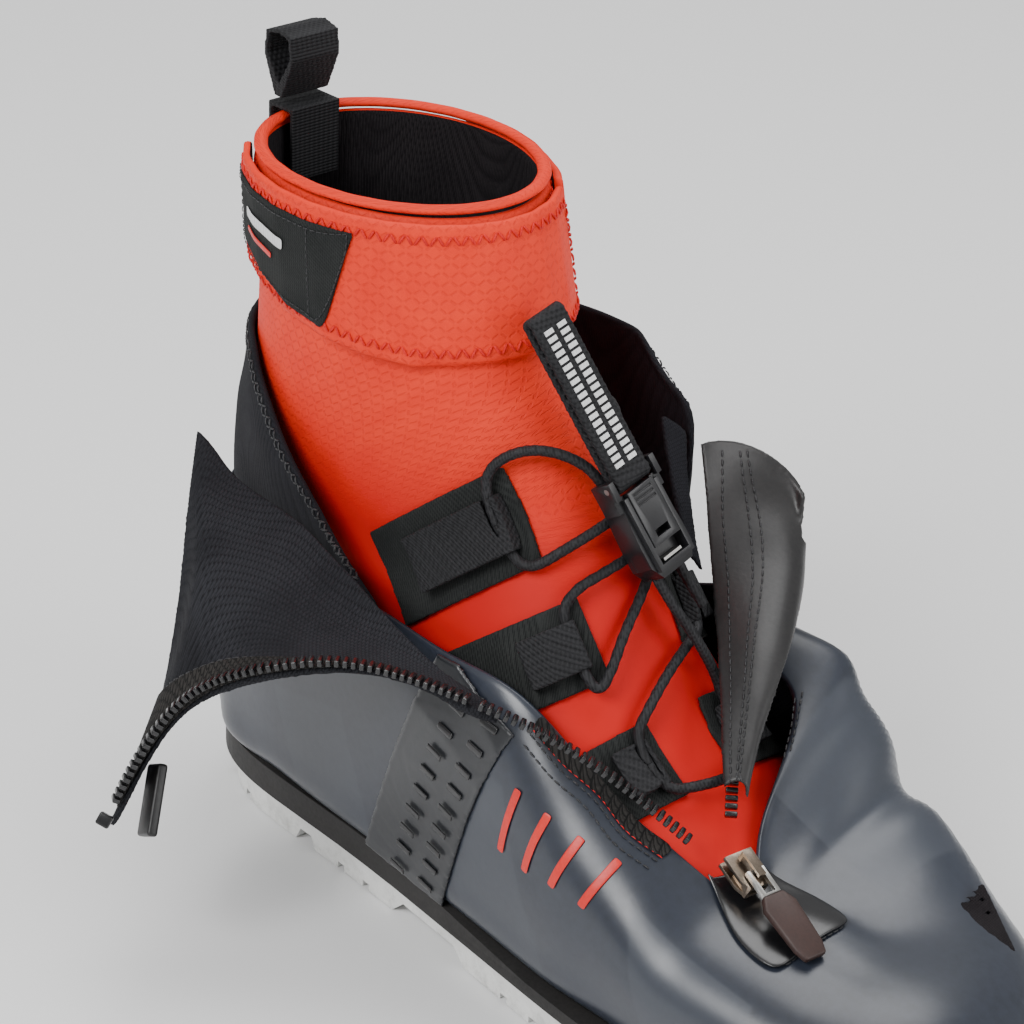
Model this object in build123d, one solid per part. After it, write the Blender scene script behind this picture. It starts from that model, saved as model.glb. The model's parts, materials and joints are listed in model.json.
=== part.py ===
from build123d import *
import os
from math import sin, cos, tan, radians, pi, copysign, exp

# Cross country ski boot for the right foot, about EU 42, with its front zip open.
# +X points to the toe, +Y to the wearer's left (the inner side of the foot), +Z up.
# The origin is on the ground under the middle of the heel.

# ---------------------------------------------------------------- driving sizes (mm)
toe_x = 258.0            # tip of the sole
heel_x = -40.0           # back of the sole
ball_half = 47.0         # half width of the sole at the ball
heel_half = 37.0         # half width of the sole at the heel
outsole_t = 11.0         # white rubber outsole
heel_top = 20.0          # top of the midsole under the heel
ball_top = 15.0          # top of the midsole under the ball
toe_top = 18.0           # top of the midsole at the toe
cuff_top = 207.0         # top edge of the neoprene cuff
cuff_seam = 164.0        # where the cuff is sewn to the foot part
ankle_x = 140.0          # pivot line of the fan of sections, x
ankle_z = 175.0          # pivot line of the fan of sections, z
instep_toe = toe_x - ankle_x - 4.0       # length of the straight forefoot, from the pivot line to the toe
calf_half = 37.0         # half width of the cuff at its top

# ---------------------------------------------------------------- walls and clearances
liner_t = 3.0            # neoprene of the liner
strap_t = 2.6            # wrap strap
strap_gap = 1.0          # air between cuff and strap
panel_lo = 0.3           # lace panels lie just off the liner
panel_t = 1.5
loop_lo = 2.1            # webbing lace loops lie just off the panels
loop_t = 4.4
shell_toe = 4.0          # inner face of the shell off the liner, at the toe
shell_leg = 7.5          # and at the ankle
shell_t = 1.6
stiff_t = 1.6            # heel counter and toe puff
board_t = 1.5
footbed_t = 3.5
binding_h = 3.0          # sewn edge on top of the cuff
gap = 0.3                # air between soft parts that lie on each other
bar_d = 4.0              # steel bar for the binding
bar_len = 46.0
bar_x = 238.0
bar_z = 6.5
cord_d = 3.0             # round lace
cord_fit = 0.3           # radial room for the lace in the lock
tunnel_fit = 0.25        # radial room for the lace in a webbing loop

strap_turn = 32.0        # direction of the strap's hinge from the cuff's centre, degrees
strap_low = 167.0        # lower edge of the wrap strap
seam_gap = 0.6           # clearance beside a sewn hinge line
footbed_rise = 6.2       # underside of the footbed above the midsole
loop_w = 17.0            # webbing of the rear pull loop
loop_z = 213.6           # foot of the free pull loop
loop_x = -25.5
panel_ahead = 6.0        # panel in front of a lace tunnel
panel_margin = {1: 6.0, 2: 5.0, 3: 4.5}
shell_top = 97.0         # where the coated shell ends and the collar begins
collar_t = 2.2
flap_t = 1.8
storm_t = 1.4
gaiter_t = 1.4
teeth_pitch = 2.3
teeth_start = 8.0        # first tooth from the slider
flap_start = 117.0       # behind this x the outer teeth sit on the turned-out flap
flap_slack = 1.6         # room between the sewn teeth and the flap's first tooth, along x
tooth = (1.4, 3.4, 2.0)  # along, across, up
tape_t = 0.7
button_w = 10.5          # release button of the lace lock
handle_w = 13.0          # webbing of the lace handle

os.makedirs("parts", exist_ok=True)


def save(name, shape):
    export_step(shape, f"parts/{name}.step")


# ---------------------------------------------------------------- the foot form
# Each station: kind, place, near radius, far radius, half width inside, half width outside.
# "x" is an upright section at a share of the forefoot, "t" one turned about the ankle
# line by that many degrees, "z" a level section of the leg at that height.
forefoot = [
    (0.982, 143.0, 152.0, 14.0, 9.0),
    (0.939, 136.0, 155.0, 26.0, 19.0),
    (0.842, 131.0, 157.0, 35.0, 29.0),
    (0.658, 129.0, 158.0, 41.0, 38.0),
    (0.351, 124.0, 158.0, 44.5, 43.0),
    (0.175, 110.0, 158.0, 43.5, 43.0),
]
ankle = [
    (0.0, 97.0, 156.0, 41.0, 43.0),
    (12.0, 79.0, 158.0, 38.0, 40.0),
    (24.0, 65.5, 168.0, 36.0, 37.0),
    (36.0, 59.0, 189.0, 34.5, 35.0),
    (45.0, 57.0, 213.0, 33.0, 33.0),
    (51.0, 56.0, 216.0, 32.0, 32.0),
    (58.0, 55.5, 203.0, 32.0, 32.0),
    (68.0, 56.5, 186.0, 32.0, 33.0),
    (79.0, 61.0, 174.0, 33.0, 34.0),
]
leg = [
    (0.0, 66.0, 168.0, 34.0, 35.0),
    (0.45, 71.0, 167.0, 35.0, 36.0),
    (1.0, 77.0, 167.0, calf_half, calf_half),
]
ring_points = 24


def stations():
    """Every section as origin, spoke direction, radii, half widths and flatness."""
    out = []
    for share, near, far, w_in, w_out in forefoot:
        place = Vector(ankle_x + share * instep_toe, 0, ankle_z)
        out.append((place, Vector(0, 0, -1), near, far, w_in, w_out, 1.0))
    for deg, near, far, w_in, w_out in ankle:
        flat = min(1.0, max(0.0, 1 - (deg - 45) / 25))
        spoke = Vector(-sin(radians(deg)), 0, -cos(radians(deg)))
        out.append((Vector(ankle_x, 0, ankle_z), spoke, near, far, w_in, w_out, flat))
    for share, near, far, w_in, w_out in leg:
        level = ankle_z + share * (cuff_top - ankle_z)
        out.append((Vector(ankle_x, 0, level), Vector(-1, 0, 0), near, far, w_in, w_out, 0.0))
    return out


def ring(station, off, swell=0.0, square=0.45):
    """Closed section of the foot form, grown by off, and by swell at its upper inner corner."""
    origin, spoke, near, far, w_in, w_out, flat = station
    mid = (near + far) / 2
    half = (far - near) / 2 + off
    points = []
    for k in range(ring_points):
        phi = 2 * pi * (k + 0.5) / ring_points
        power = 1 - square * flat * (1 - cos(phi)) / 2 - 0.12 * flat
        across = copysign(abs(sin(phi)) ** power, sin(phi))
        wide = (w_in if across >= 0 else w_out) + off
        corner = swell * exp(-((across - 0.82) / 0.17) ** 2) * min(1.0, max(0.0, 2 * cos(phi)))
        up = half * cos(phi) + corner
        points.append(origin + spoke * (mid - up) + Vector(0, wide * across + 0.35 * corner, 0))
    return Wire.make_polygon(points, close=True)


def form(off, first=0, last=None):
    """The foot form grown by off, from station first to station last."""
    return Solid.make_loft([ring(s, off) for s in stations()[first:last]], ruled=True)


def layer(low, high, first=0, last=None):
    """A skin on the foot form between two offsets."""
    return form(high, first, last) - form(low, first, last)


def block(x0, x1, y0, y1, z0, z1):
    """A box from its corners."""
    box = Box(x1 - x0, y1 - y0, z1 - z0)
    return Pos((x0 + x1) / 2, (y0 + y1) / 2, (z0 + z1) / 2) * box


def side_cut(points, y0, y1):
    """A prism whose outline is drawn in the side view, from y0 to y1."""
    face = make_face(Polyline([(x, 0, z) for x, z in points], close=True))
    return Pos(0, y0, 0) * extrude(face, amount=y1 - y0, dir=(0, 1, 0))


def outline(inset=0.0):
    """The sole's outline seen from above."""
    b, h = ball_half - inset, heel_half - inset
    back, front = heel_x + inset, toe_x - inset
    length = front - back
    at = lambda share: back + share * length
    points = [
        (back, 0), (at(0.08), -0.88 * h), (at(0.22), -h - 1), (at(0.37), -h - 3.5),
        (at(0.53), -0.96 * b), (at(0.65), -b - 1), (at(0.76), -b), (at(0.87), -0.8 * b),
        (at(0.965), -0.36 * b), (front, 0.12 * b), (at(0.975), 0.52 * b),
        (at(0.9), 0.86 * b), (at(0.79), b), (at(0.67), b - 1), (at(0.53), 0.8 * b),
        (at(0.40), 0.92 * h), (at(0.23), 0.95 * h), (at(0.08), 0.83 * h),
    ]
    return make_face(Spline([(x, y) for x, y in points], periodic=True))


def sole_top(rise=0.0):
    """Points along the top of the midsole, heel to toe, in the side view."""
    line = [(heel_x - 20, heel_top), (60, heel_top), (130, ball_top), (205, ball_top)]
    line.append((toe_x + 20, toe_top))
    return [(x, z + rise) for x, z in line]


def between(low, high):
    """A prism across the boot between two lines of the side view."""
    return side_cut(low + list(reversed(high)), -150, 150)


# ---------------------------------------------------------------- sole
def make_outsole():
    floor = [(heel_x - 20, 0.0), (215, 0.0), (toe_x + 20, 7.0)]
    top = [(heel_x - 20, outsole_t), (205, outsole_t), (toe_x + 20, toe_top - 4)]
    body = extrude(outline(3.0), amount=40) & between(floor, top)
    arch = [(64, -1), (70, 4.5), (94, 4.5), (101, -1)]
    notch = [(18, -1), (20.5, 4.0), (25.5, 4.0), (28, -1)]
    body -= side_cut(arch, -80, 80)
    body -= side_cut(notch, -80, 80)
    for side in (-1, 1):
        body -= block(112, 222, side * 12 - 3.5, side * 12 + 3.5, -1, 5.5)
    for x in (-22, -8, 40, 52):
        body -= block(x - 1.5, x + 1.5, -80, 80, -1, 2.0)
    for x in range(118, 222, 13):
        for y in (-52, 52):
            body -= block(x - 1.5, x + 1.5, y - 30, y + 30, -1, 2.0)
    recess = block(bar_x - 6.5, bar_x + 8.0, -15.0, 15.0, -5, 10.0)
    body -= recess
    body -= Pos(bar_x, 0, bar_z) * Rot(90, 0, 0) * Cylinder(bar_d / 2, bar_len)
    return body


def make_midsole():
    low = [(heel_x - 20, outsole_t), (205, outsole_t), (toe_x + 20, toe_top - 4)]
    return extrude(outline(0.0), amount=40) & between(low, sole_top())


def make_board():
    level = between(sole_top(0.0), sole_top(board_t))
    return (extrude(outline(9.0), amount=40) & level) & shell_form(-gap, 0.7)


def make_bar():
    return Pos(bar_x, 0, bar_z) * Rot(90, 0, 0) * Cylinder(bar_d / 2, bar_len)


# ---------------------------------------------------------------- liner
def levels(z0, z1):
    """Everything between two heights."""
    return block(-150, 350, -200, 200, z0, z1)


def make_liner_foot():
    return (form(0.0) - form(-liner_t, 1)) & levels(-10, cuff_seam)


def make_liner_cuff():
    return (form(0.0, 12) - form(-liner_t, 12)) & levels(cuff_seam, cuff_top - 0.01)


def make_cuff_binding():
    rim = stations()[-1]
    ribbon = make_face(ring(rim, 0.6)) - make_face(ring(rim, -liner_t - 0.6))
    return extrude(ribbon, amount=binding_h, dir=(0, 0, 1))


def make_footbed():
    """Removable insole lying in the liner."""
    low = sole_top(footbed_rise)
    return form(-liner_t - gap, 1, 12) & between(low, sole_top(footbed_rise + footbed_t))


# ---------------------------------------------------------------- wrap strap
leg_x = ankle_x - (leg[-1][1] + leg[-1][2]) / 2      # centre of the cuff
strap_out = strap_gap + strap_t


def strap_drawing(points, amount):
    """Prism from an outline drawn on the upright plane through the strap's hinge."""
    turn = radians(strap_turn)
    plane = Plane((leg_x, 0, 0), (cos(turn), sin(turn), 0), (sin(turn), -cos(turn), 0))
    return extrude(plane * make_face(Polyline(points, close=True)), amount=amount)


def make_wrap_strap():
    """Free part of the strap, from its hinge round the front to its end."""
    top, low = cuff_top - 0.8, strap_low
    edge = [(-60, top), (-60, 190), (-44, 182), (-38, low + 7), (-25, low + 2), (0, low), (20, low)]
    edge += [(60, low + 5), (60, top)]
    return layer(strap_gap, strap_out, 12) & strap_drawing(edge, 90)


def make_strap_anchor():
    """Sewn part of the strap on the inner side of the cuff."""
    top, low = cuff_top - 0.8, strap_low + 5
    edge = [(8, top), (8, low), (60, low), (60, top)]
    drawing = strap_drawing(edge, -90) - strap_drawing(edge, 90) - strap_slit()
    return layer(0.2, strap_out, 12) & drawing


def strap_slit():
    """The seam's clearance between the free strap and its anchor."""
    edge = [(0, 0), (0, 260), (90, 260), (90, 0)]
    return strap_drawing(edge, -seam_gap)


def make_strap_label():
    edge = [(-60, 201), (-60, 187), (-41, 180), (-24, 173), (-9, 171), (0, 201.5)]
    return layer(strap_out + 0.1, strap_out + 0.9, 12) & strap_drawing(edge, 90)


def make_hook_pad():
    edge = [(-60, 199), (-60, 190), (-41, 184), (-22, 177), (-12, 176), (-12, 199)]
    return layer(0.45, strap_gap - 0.05, 12) & strap_drawing(edge, 90)


# ---------------------------------------------------------------- rear pull loop
def make_loop_base():
    """Folded end of the pull loop, sewn over the cuff's rim."""
    back = ankle_x - leg[-1][2]
    outer = block(back - 2.9, back - 1.4, -loop_w / 2, loop_w / 2, cuff_top - 17, loop_z - 2.4)
    inner = block(back + 6.6, back + 8.1, -loop_w / 2, loop_w / 2, cuff_top - 17, loop_z - 2.4)
    bridge = block(back - 2.9, back + 8.1, -loop_w / 2, loop_w / 2, loop_z - 3.3, loop_z - 2.0)
    return outer + inner + bridge


def make_pull_loop():
    """Webbing loop standing on the rim."""
    x = loop_x
    outer = [(x - 1.6, loop_z), (x - 6.5, loop_z + 12), (x - 5.5, loop_z + 18.5), (x, loop_z + 20)]
    outer += [(x + 5.5, loop_z + 18.5), (x + 6.5, loop_z + 12), (x + 1.6, loop_z)]
    inner = [(x, loop_z + 4), (x - 4.8, loop_z + 12), (x - 4.2, loop_z + 17.7), (x, loop_z + 18.6)]
    inner += [(x + 4.2, loop_z + 17.7), (x + 4.8, loop_z + 12)]
    return side_cut(outer, -loop_w / 2, loop_w / 2) - side_cut(inner, -loop_w, loop_w)


# ---------------------------------------------------------------- lace panels and loops
# Each loop: centre of its lace tunnel, tunnel direction, direction back along the webbing,
# half width, reach of the webbing and reach of the panel under it.
loops = {
    1: ((88.0, 24.0, 130.0), (0.64, 0.0, -0.77), (-0.71, 0.30, -0.63), 8.0, 30.0, 44.0),
    2: ((117.0, 22.0, 105.0), (0.62, 0.0, -0.78), (-0.25, 0.72, -0.64), 6.8, 14.0, 34.0),
    3: ((143.0, 17.0, 79.0), (0.80, 0.0, -0.60), (-0.10, 0.85, -0.52), 6.8, 8.0, 28.0),
}


def loop_plane(number, side):
    """Plane of a lace loop: x along the tunnel, y back along the webbing."""
    centre, along, back, *_ = loops[number]
    flip = lambda v: Vector(v[0], side * v[1], v[2])
    x_dir, y_dir = flip(along), flip(back)
    return Plane(flip(centre), x_dir, x_dir.cross(y_dir))


def slab(number, side, half, ahead, reach):
    """Prism standing on the foot form over a lace loop."""
    body = Pos(0, (reach - ahead) / 2, 0) * Box(2 * half, reach + ahead, 40)
    return loop_plane(number, side) * body


def make_lace_panel(number, side):
    _, _, _, half, _, reach = loops[number]
    wide = half + panel_margin[number]
    skin = layer(panel_lo, panel_lo + panel_t) & levels(30, 300)
    return skin & slab(number, side, wide, panel_ahead, reach)


def make_lace_loop(number, side):
    _, _, _, half, reach, _ = loops[number]
    webbing = layer(loop_lo, loop_lo + loop_t) & slab(number, side, half, 3.0, reach)
    place = loop_plane(number, side)
    webbing -= place * Rot(0, 90, 0) * Cylinder(cord_d / 2 + tunnel_fit, 60)
    for name, points in laces.items():
        ends = [Vector(*points[0]), Vector(*points[-1])]
        if min((end - place.origin).length for end in ends) < 0.1:
            webbing -= lace_tube(name, tunnel_fit)[1]
    return webbing


# ---------------------------------------------------------------- shell
swell = [0, 0, 4, 12, 28, 40, 30, 12, 6, 0]       # raised inner side of the open shell


def shell_form(extra, tip=0.0):
    """The shell's outer or inner face over the whole foot, its toe moved forward by tip."""
    rings = []
    for k, station in enumerate(stations()[:15]):
        if k == 0:
            station = (station[0] + Vector(tip, 0, 0),) + station[1:]
        off = min(shell_leg, shell_toe + 1.2 * max(0, k - 5)) + extra
        rings.append(ring(station, off, swell[k] if k < len(swell) else 0.0, 0.78))
    return Solid.make_loft(rings, ruled=True)


def shell_skin(low, high, tip_low=1.0, tip_high=3.0):
    return shell_form(high, tip_high) - shell_form(low, tip_low)


def opening():
    """The space that the open zip leaves, as a prism seen from above."""
    front = [(182, -17), (151, -29), (122, -45), (112, -60), (-90, -90), (-90, 110), (100, 110)]
    front += [(100, 48), (106, 44), (124, 36), (150, 26), (162, 8), (182, -14)]
    plan = extrude(make_face(Polyline(front, close=True)), amount=300)
    crest = [(190, 48), (150, 70), (122, 91), (110, shell_top), (-90, shell_top), (-90, 300), (190, 300)]
    return plan & side_cut(crest, -150, 150)


def make_shell():
    upper = shell_skin(0.0, shell_t)
    above_sole = between(sole_top(0.05), [(-60, 260), (280, 260)])
    return (upper & above_sole) - opening()


def make_heel_counter():
    skin = shell_skin(-stiff_t - 0.2, -0.2)
    return skin & between(sole_top(board_t + 1), [(-60, 62), (280, 62)]) & block(-60, 34, -90, 90, 0, 80)


def make_toe_puff():
    skin = shell_skin(-stiff_t - 0.2, -0.2, 0.2, 0.8)
    return skin & between(sole_top(board_t + 1), [(-60, 62), (280, 62)]) & block(212, 280, -90, 90, 0, 80)


def make_instep_band():
    """Ribbed strap on the outside of the shell, from the sole up to the instep."""
    edge = [(56, 17), (92, 17), (118, 86), (88, 100)]
    band = shell_skin(shell_t + 0.1, shell_t + 1.1) & side_cut(edge, -90, -6)
    return (band & between(sole_top(0.1), [(-60, 260), (280, 260)])) - opening()


toward = (0.64, -0.61, 0.46)      # the side of the flaps that shows when they are turned out


def sheet(rows, thickness, shown=1):
    """A soft sheet through rows of points, grown to its shown side, or to its hidden side."""
    face = Face.make_surface_from_array_of_points([[Vector(*p) for p in row] for row in rows])
    return Solid.thicken(face, thickness, Vector(*toward) * shown)


# ---------------------------------------------------------------- collar and flaps
def make_collar():
    """Stretch collar standing round the back of the ankle."""
    def cup(grow):
        rings = []
        for z, x0, x1, y0, y1 in collar_rings:
            plane = Plane((0, 0, z))
            middle = Pos((x0 + x1) / 2, (y0 + y1) / 2)
            rings.append((plane * middle * Ellipse((x1 - x0) / 2 - grow, (y1 - y0) / 2 - grow)).wire())
        return Solid.make_loft(rings, ruled=True)
    wall = cup(0.0) - cup(collar_t)
    low = shell_top + gap
    outer = side_cut([(-80, low), (-80, 152), (-12, 150), (30, 124), (62, low)], -150, 0)
    inner = side_cut([(-80, low), (-80, 152), (62, 156), (92, 140), (92, low)], 0, 150)
    return wall & (outer + inner)


collar_rings = [
    (shell_top, -42.0, 150.0, -43.5, 48.0),
    (126.0, -41.0, 140.0, -44.0, 54.0),
    (158.0, -37.0, 128.0, -41.0, 56.0),
]
flap_rows = [
    [(116, -47.5, 93.6), (117, -48.4, 94.2), (118, -49.3, 94.8), (119, -50.2, 95.4), (120, -51, 96)],
    [(98, -49, 98.5), (98.5, -51.5, 98.6), (99, -54, 98.8), (99, -57, 99), (99, -60, 99)],
    [(78, -50, 104), (79, -55, 101), (80, -61, 99.5), (80, -66, 99.5), (80, -72, 100)],
    [(58, -49, 110), (61, -57, 104), (64, -66, 100), (66, -75, 97.5), (66, -84, 96)],
    [(38, -49, 117), (42, -60, 108), (46, -72, 100), (48, -84, 92), (48, -95, 83)],
    [(18, -50, 120), (23, -62, 111), (31, -77, 99), (37, -91, 84), (40, -105, 66)],
    [(2, -50, 124), (8, -61, 115), (20, -74, 99), (29, -92, 75), (36, -112, 50)],
    [(-12, -48, 127), (-3, -57, 117), (8, -69, 98), (21, -86, 70), (31, -112, 43)],
]
storm_rows = [
    [(91, 50, 133), (98, 56, 135), (106, 60, 133.5), (114, 63, 129), (121, 62, 125)],
    [(103, 42, 118), (109, 50, 122), (115, 55, 121), (121, 58, 117), (125, 57, 112)],
    [(116, 32, 106), (121, 40, 111), (126, 46, 112), (130, 49, 110), (133, 48, 105)],
    [(130, 21, 96.5), (134, 26, 101), (138, 30, 103), (142, 32.5, 102), (145, 32, 99)],
    [(145, 8, 88.5), (148, 11, 91), (151, 13, 92), (154, 13.5, 91), (156, 12, 88)],
    [(161, -6, 76.5), (162.5, -5, 78), (164, -4, 78.5), (165.5, -4, 77.5), (166.5, -5, 75.5)],
]
gaiter_rows = [
    [(84, 40, 142), (86.5, 43, 139.5), (88.5, 45, 137)],
    [(97, 33, 127), (99, 35, 124.5), (100.5, 36.5, 122)],
    [(110, 27.5, 113), (112, 28.5, 111), (113.5, 29, 109)],
]
# The teeth run from the slider along the open shell and round the edge of each flap.
teeth_outer = [
    (170, -20, 64.5), (151, -30, 79), (136, -40, 89.5), (120, -53.5, 99), (99, -62.5, 102),
    (80, -74.5, 102.8), (66, -87, 98.8), (48, -98, 85.4), (40.5, -108, 67.5), (36.5, -115, 51),
]


def along(points, step, start=0.0):
    """Places and directions at even steps on a smooth line through points."""
    line = Edge.make_spline([Vector(*p) for p in points])
    count = int((line.length - start) / step)
    shares = [(start + k * step) / line.length for k in range(count)]
    return [(line.position_at(share), line.tangent_at(share)) for share in shares]


def make_teeth(points, sewn):
    """Moulded zip teeth on a tape's edge: those of the sewn part, or those of the loose flap."""
    teeth = []
    for place, tangent in along(points, teeth_pitch, teeth_start):
        on_shell = place.X > flap_start or place.Y > 0
        on_flap = place.X < flap_start - flap_slack and place.Y < 0
        if on_shell and sewn or on_flap and not sewn:
            plane = Plane(place, tangent, tangent.cross(Vector(0, 0, 1)).cross(tangent))
            teeth.append(plane * Box(tooth[0], tooth[1], tooth[2]))
    return Compound(children=teeth)


def shifted(rows, first, last, amount):
    """Columns first to last of some rows, moved toward the shown side."""
    move = Vector(*toward) * amount
    return [[tuple(Vector(*p) + move) for p in row[first:last]] for row in rows]


def make_outer_tape():
    """Knitted tape on the inside of the outer flap, along the teeth."""
    return sheet(shifted(flap_rows[1:7], 3, 5, 0.8), tape_t)


def make_inner_tape():
    """Tape under the storm flap, along the inner row of teeth."""
    return sheet(shifted(storm_rows[:4], 0, 2, -1.0), tape_t, -1)


def inner_tooth_line():
    """The inner row of teeth: up from the slider, hidden under the storm flap."""
    return [(170, -12.5, 66.5)] + [row[0] for row in reversed(shifted(storm_rows, 1, 2, -4.0))]


# ---------------------------------------------------------------- zip slider and pull
slider_plane = Plane((178.5, -16.3, 61.6), (0.885, -0.068, -0.46), (0.46, 0.0, 0.885))


def make_slider():
    """Slider body: two plates, the post between their noses, and the bridge on top."""
    wide = Polyline([(-5.5, -4.6), (2.0, -4.6), (5.5, -3.2), (5.5, 3.2), (2.0, 4.6), (-5.5, 4.6)], close=True)
    plate = extrude(make_face(wide), amount=1.2)
    body = plate + Pos(0, 0, 3.2) * plate
    body += Pos(-3.6, 0, 2.2) * Box(3.6, 1.8, 4.4)
    for side in (-1, 1):
        body += Pos(2.2, side * 3.2, 2.2) * Box(6.4, 1.0, 4.4)
    bridge = Pos(0, 0, 5.9) * Box(8.0, 2.4, 3.4) - Pos(0, 0, 5.6) * Box(5.6, 3.0, 2.4)
    return slider_plane * (body + bridge)


def make_pull_link():
    """Wire link held in the slider's bridge."""
    pin = Pos(1.9, 0, 5.6) * Rot(90, 0, 0) * Cylinder(0.65, 4.0)
    arms = Pos(5.2, 0, 5.6) * Box(8.0, 6.0, 1.3) - Pos(4.6, 0, 5.6) * Box(8.0, 3.4, 3.0)
    return slider_plane * (pin + arms)


def make_pull_tab():
    """Tapered rubber grip moulded on the link."""
    half = [(9.3, 3.4), (13, 5.4), (26, 4.6), (29.5, 3.4)]
    edge = Polyline([(x, -y) for x, y in half] + list(reversed(half)), close=True)
    grip = Pos(0, 0, 4.6) * extrude(make_face(edge), amount=2.2)
    return slider_plane * grip


def make_end_stop():
    """Moulded stop on the last tooth of the outer row."""
    end = Vector(*teeth_outer[-1])
    return Plane(end, end - Vector(*teeth_outer[-2]), toward) * (Pos(3.2, 0, 0) * Box(3.6, 4.0, 2.8))


# ---------------------------------------------------------------- lace lock and its handle
lock_plane = Plane((110.9, 6.0, 128.6), (0.515, 0.211, -0.831), (0.85, 0.008, 0.528))
lock_l, lock_w, lock_h = 26.0, 17.0, 9.5
tunnel_y, tunnel_z = 4.6, 3.0
pin_x, pin_z = -15.0, 7.2


def make_lock_body():
    """Housing: lace tunnels, button pocket, side grips and the ears for the handle's pin."""
    edge = Polyline([(-12, -6.4), (-11, -7.6), (3, -8.5), (9, -8.5), (13, -6.0), (13, 6.0), (9, 8.5), (3, 8.5),
                     (-11, 7.6), (-12, 6.4)], close=True)
    body = extrude(make_face(edge), amount=lock_h - 1.5)
    body += Pos(0, 0, lock_h / 2) * Box(lock_l - 4, 14.0, lock_h)
    body -= block(-20, 9.5, -button_w / 2 - 0.25, button_w / 2 + 0.25, 5.6, 20)
    for side in (-1, 1):
        body -= Pos(0, side * tunnel_y, tunnel_z) * Rot(0, 90, 0) * Cylinder(cord_d / 2 + cord_fit, 60)
        body += block(-17, -11.5, side * 8.4 - 0.9, side * 8.4 + 0.9, 2.0, lock_h)
        body += block(-12.2, -8.0, side * 7.9 - 1.4, side * 7.9 + 1.4, 2.0, lock_h - 1.5)
        body -= block(5, 11, side * 9.2 - 0.8, side * 9.2 + 0.8, 2.0, 6.5)
    body -= Pos(pin_x, 0, pin_z) * Rot(90, 0, 0) * Cylinder(0.9, 30)
    return lock_plane * body


def make_lock_button():
    """Sliding release plate on top of the lock."""
    plate = block(-12.0, 4.5, -button_w / 2, button_w / 2, 5.8, lock_h + 0.3)
    plate -= block(0.5, 2.5, -2.6, 2.6, 0, 20)
    for x in (-10.5, -9.0, -7.5):
        plate -= block(x - 0.3, x + 0.3, -3.5, 3.5, lock_h - 0.1, 20)
    return lock_plane * plate


def make_lock_spring():
    """Flat spring behind the button, drawn at its shortest."""
    leaf = block(8.3, 9.1, -3.6, 3.6, 6.0, 8.6)
    return lock_plane * leaf


def make_lock_pin():
    return lock_plane * (Pos(pin_x, 0, pin_z) * Rot(90, 0, 0) * Cylinder(0.9, 18.4))


def make_handle():
    """Webbing loop folded round the pin, two layers lying together."""
    x, z, w = pin_x, pin_z, handle_w
    eye = Pos(x, 0, z) * Rot(90, 0, 0) * Cylinder(2.5, w)
    legs = block(x - 48, x, -w / 2, w / 2, z - 2.1, z - 0.5) + block(x - 48, x, -w / 2, w / 2, z + 0.5, z + 2.1)
    end = Pos(x - 48, 0, z) * Rot(90, 0, 0) * (Cylinder(2.1, w) - Cylinder(0.5, 2 * w))
    body = eye + legs + (end & block(x - 60, x - 48, -w, w, z - 9, z + 9))
    body -= Pos(x, 0, z) * Rot(90, 0, 0) * Cylinder(1.15, 2 * w)
    return lock_plane * body


# ---------------------------------------------------------------- lace
laces = {
    "lace_1": [(107, 1.5, 132.2), (107.4, -6.5, 130.6), (104.6, -14.8, 126.6), (100.6, -22.6, 121.6),
               (94.1, -24, 122.7), (88, -24, 130)],
    "lace_2": [(88, -24, 130), (82.9, -24, 136.2), (81.4, -22.3, 144.5), (88, -15.5, 150.5), (97.3, -8.5, 150.2),
               (104.7, -2.3, 144.3), (123.3, 5.3, 114.4), (130.5, 11, 102.5), (134.4, 15.6, 91.5),
               (136.6, 17, 83.8), (143, 17, 79)],
    "lace_3": [(143, 17, 79), (149.4, 17, 74.2), (154, 10.5, 75), (156, 0, 74.6), (154, -10.5, 75),
               (149.4, -17, 74.2), (143, -17, 79)],
    "lace_4": [(143, -17, 79), (136.6, -17, 83.8), (134.8, -10, 90), (130.8, 1, 95.4), (127, 12, 98.5),
               (122.3, 22, 98.4), (117, 22, 105)],
    "lace_5": [(117, 22, 105), (111.7, 22, 111.6), (109.6, 18.5, 117.2), (112.8, 11, 117.8), (118, 2, 113),
               (122, -8, 106.5), (126, -16, 99.4), (127, -21, 95.2), (122.3, -22, 98.4), (117, -22, 105)],
    "lace_6": [(117, -22, 105), (111.4, -22, 112.0), (111.2, -17, 118.0), (113, -7.5, 121), (112.8, 3, 122.6),
               (108.6, 12.5, 123), (102.6, 21.2, 121.3), (94.1, 24, 122.7), (88, 24, 130)],
    "lace_7": [(88, 24, 130), (82.9, 24, 136.2), (79.6, 22.8, 145), (83, 18.5, 153.5), (91, 13.5, 157),
               (98.2, 9.8, 154.2), (103.6, 6.7, 145.9), (122.2, 14.3, 116), (126.4, 17.4, 108.4)],
}


def corner_radii(points):
    """Largest tangent arc at each point of a route: 0.45 of the shorter run over tan(half turn)."""
    radii = []
    for a, b, c in zip(points, points[1:], points[2:]):
        one, two = Vector(*b) - Vector(*a), Vector(*c) - Vector(*b)
        turn = radians(one.get_angle(two))
        radii.append(0.45 * min(one.length, two.length) / tan(turn / 2))
    return radii


def lace_tube(name, grow=0.0):
    """Round cord along straight runs joined by tangent arcs, as its path and its solid."""
    path = FilletPolyline(*laces[name], radius=corner_radii(laces[name]))
    start = Plane(path @ 0, z_dir=path % 0)
    return path, sweep(start * Circle(cord_d / 2 + grow), path=path)


def make_lace(name):
    path, tube = lace_tube(name)
    radii = corner_radii(laces[name])
    share = tube.volume / (pi * cord_d ** 2 / 4 * path.length)
    print(name, "length", round(path.length, 1), "volume share", round(share, 4))
    print(name, "radii", [round(r, 1) for r in radii])
    return tube


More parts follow.
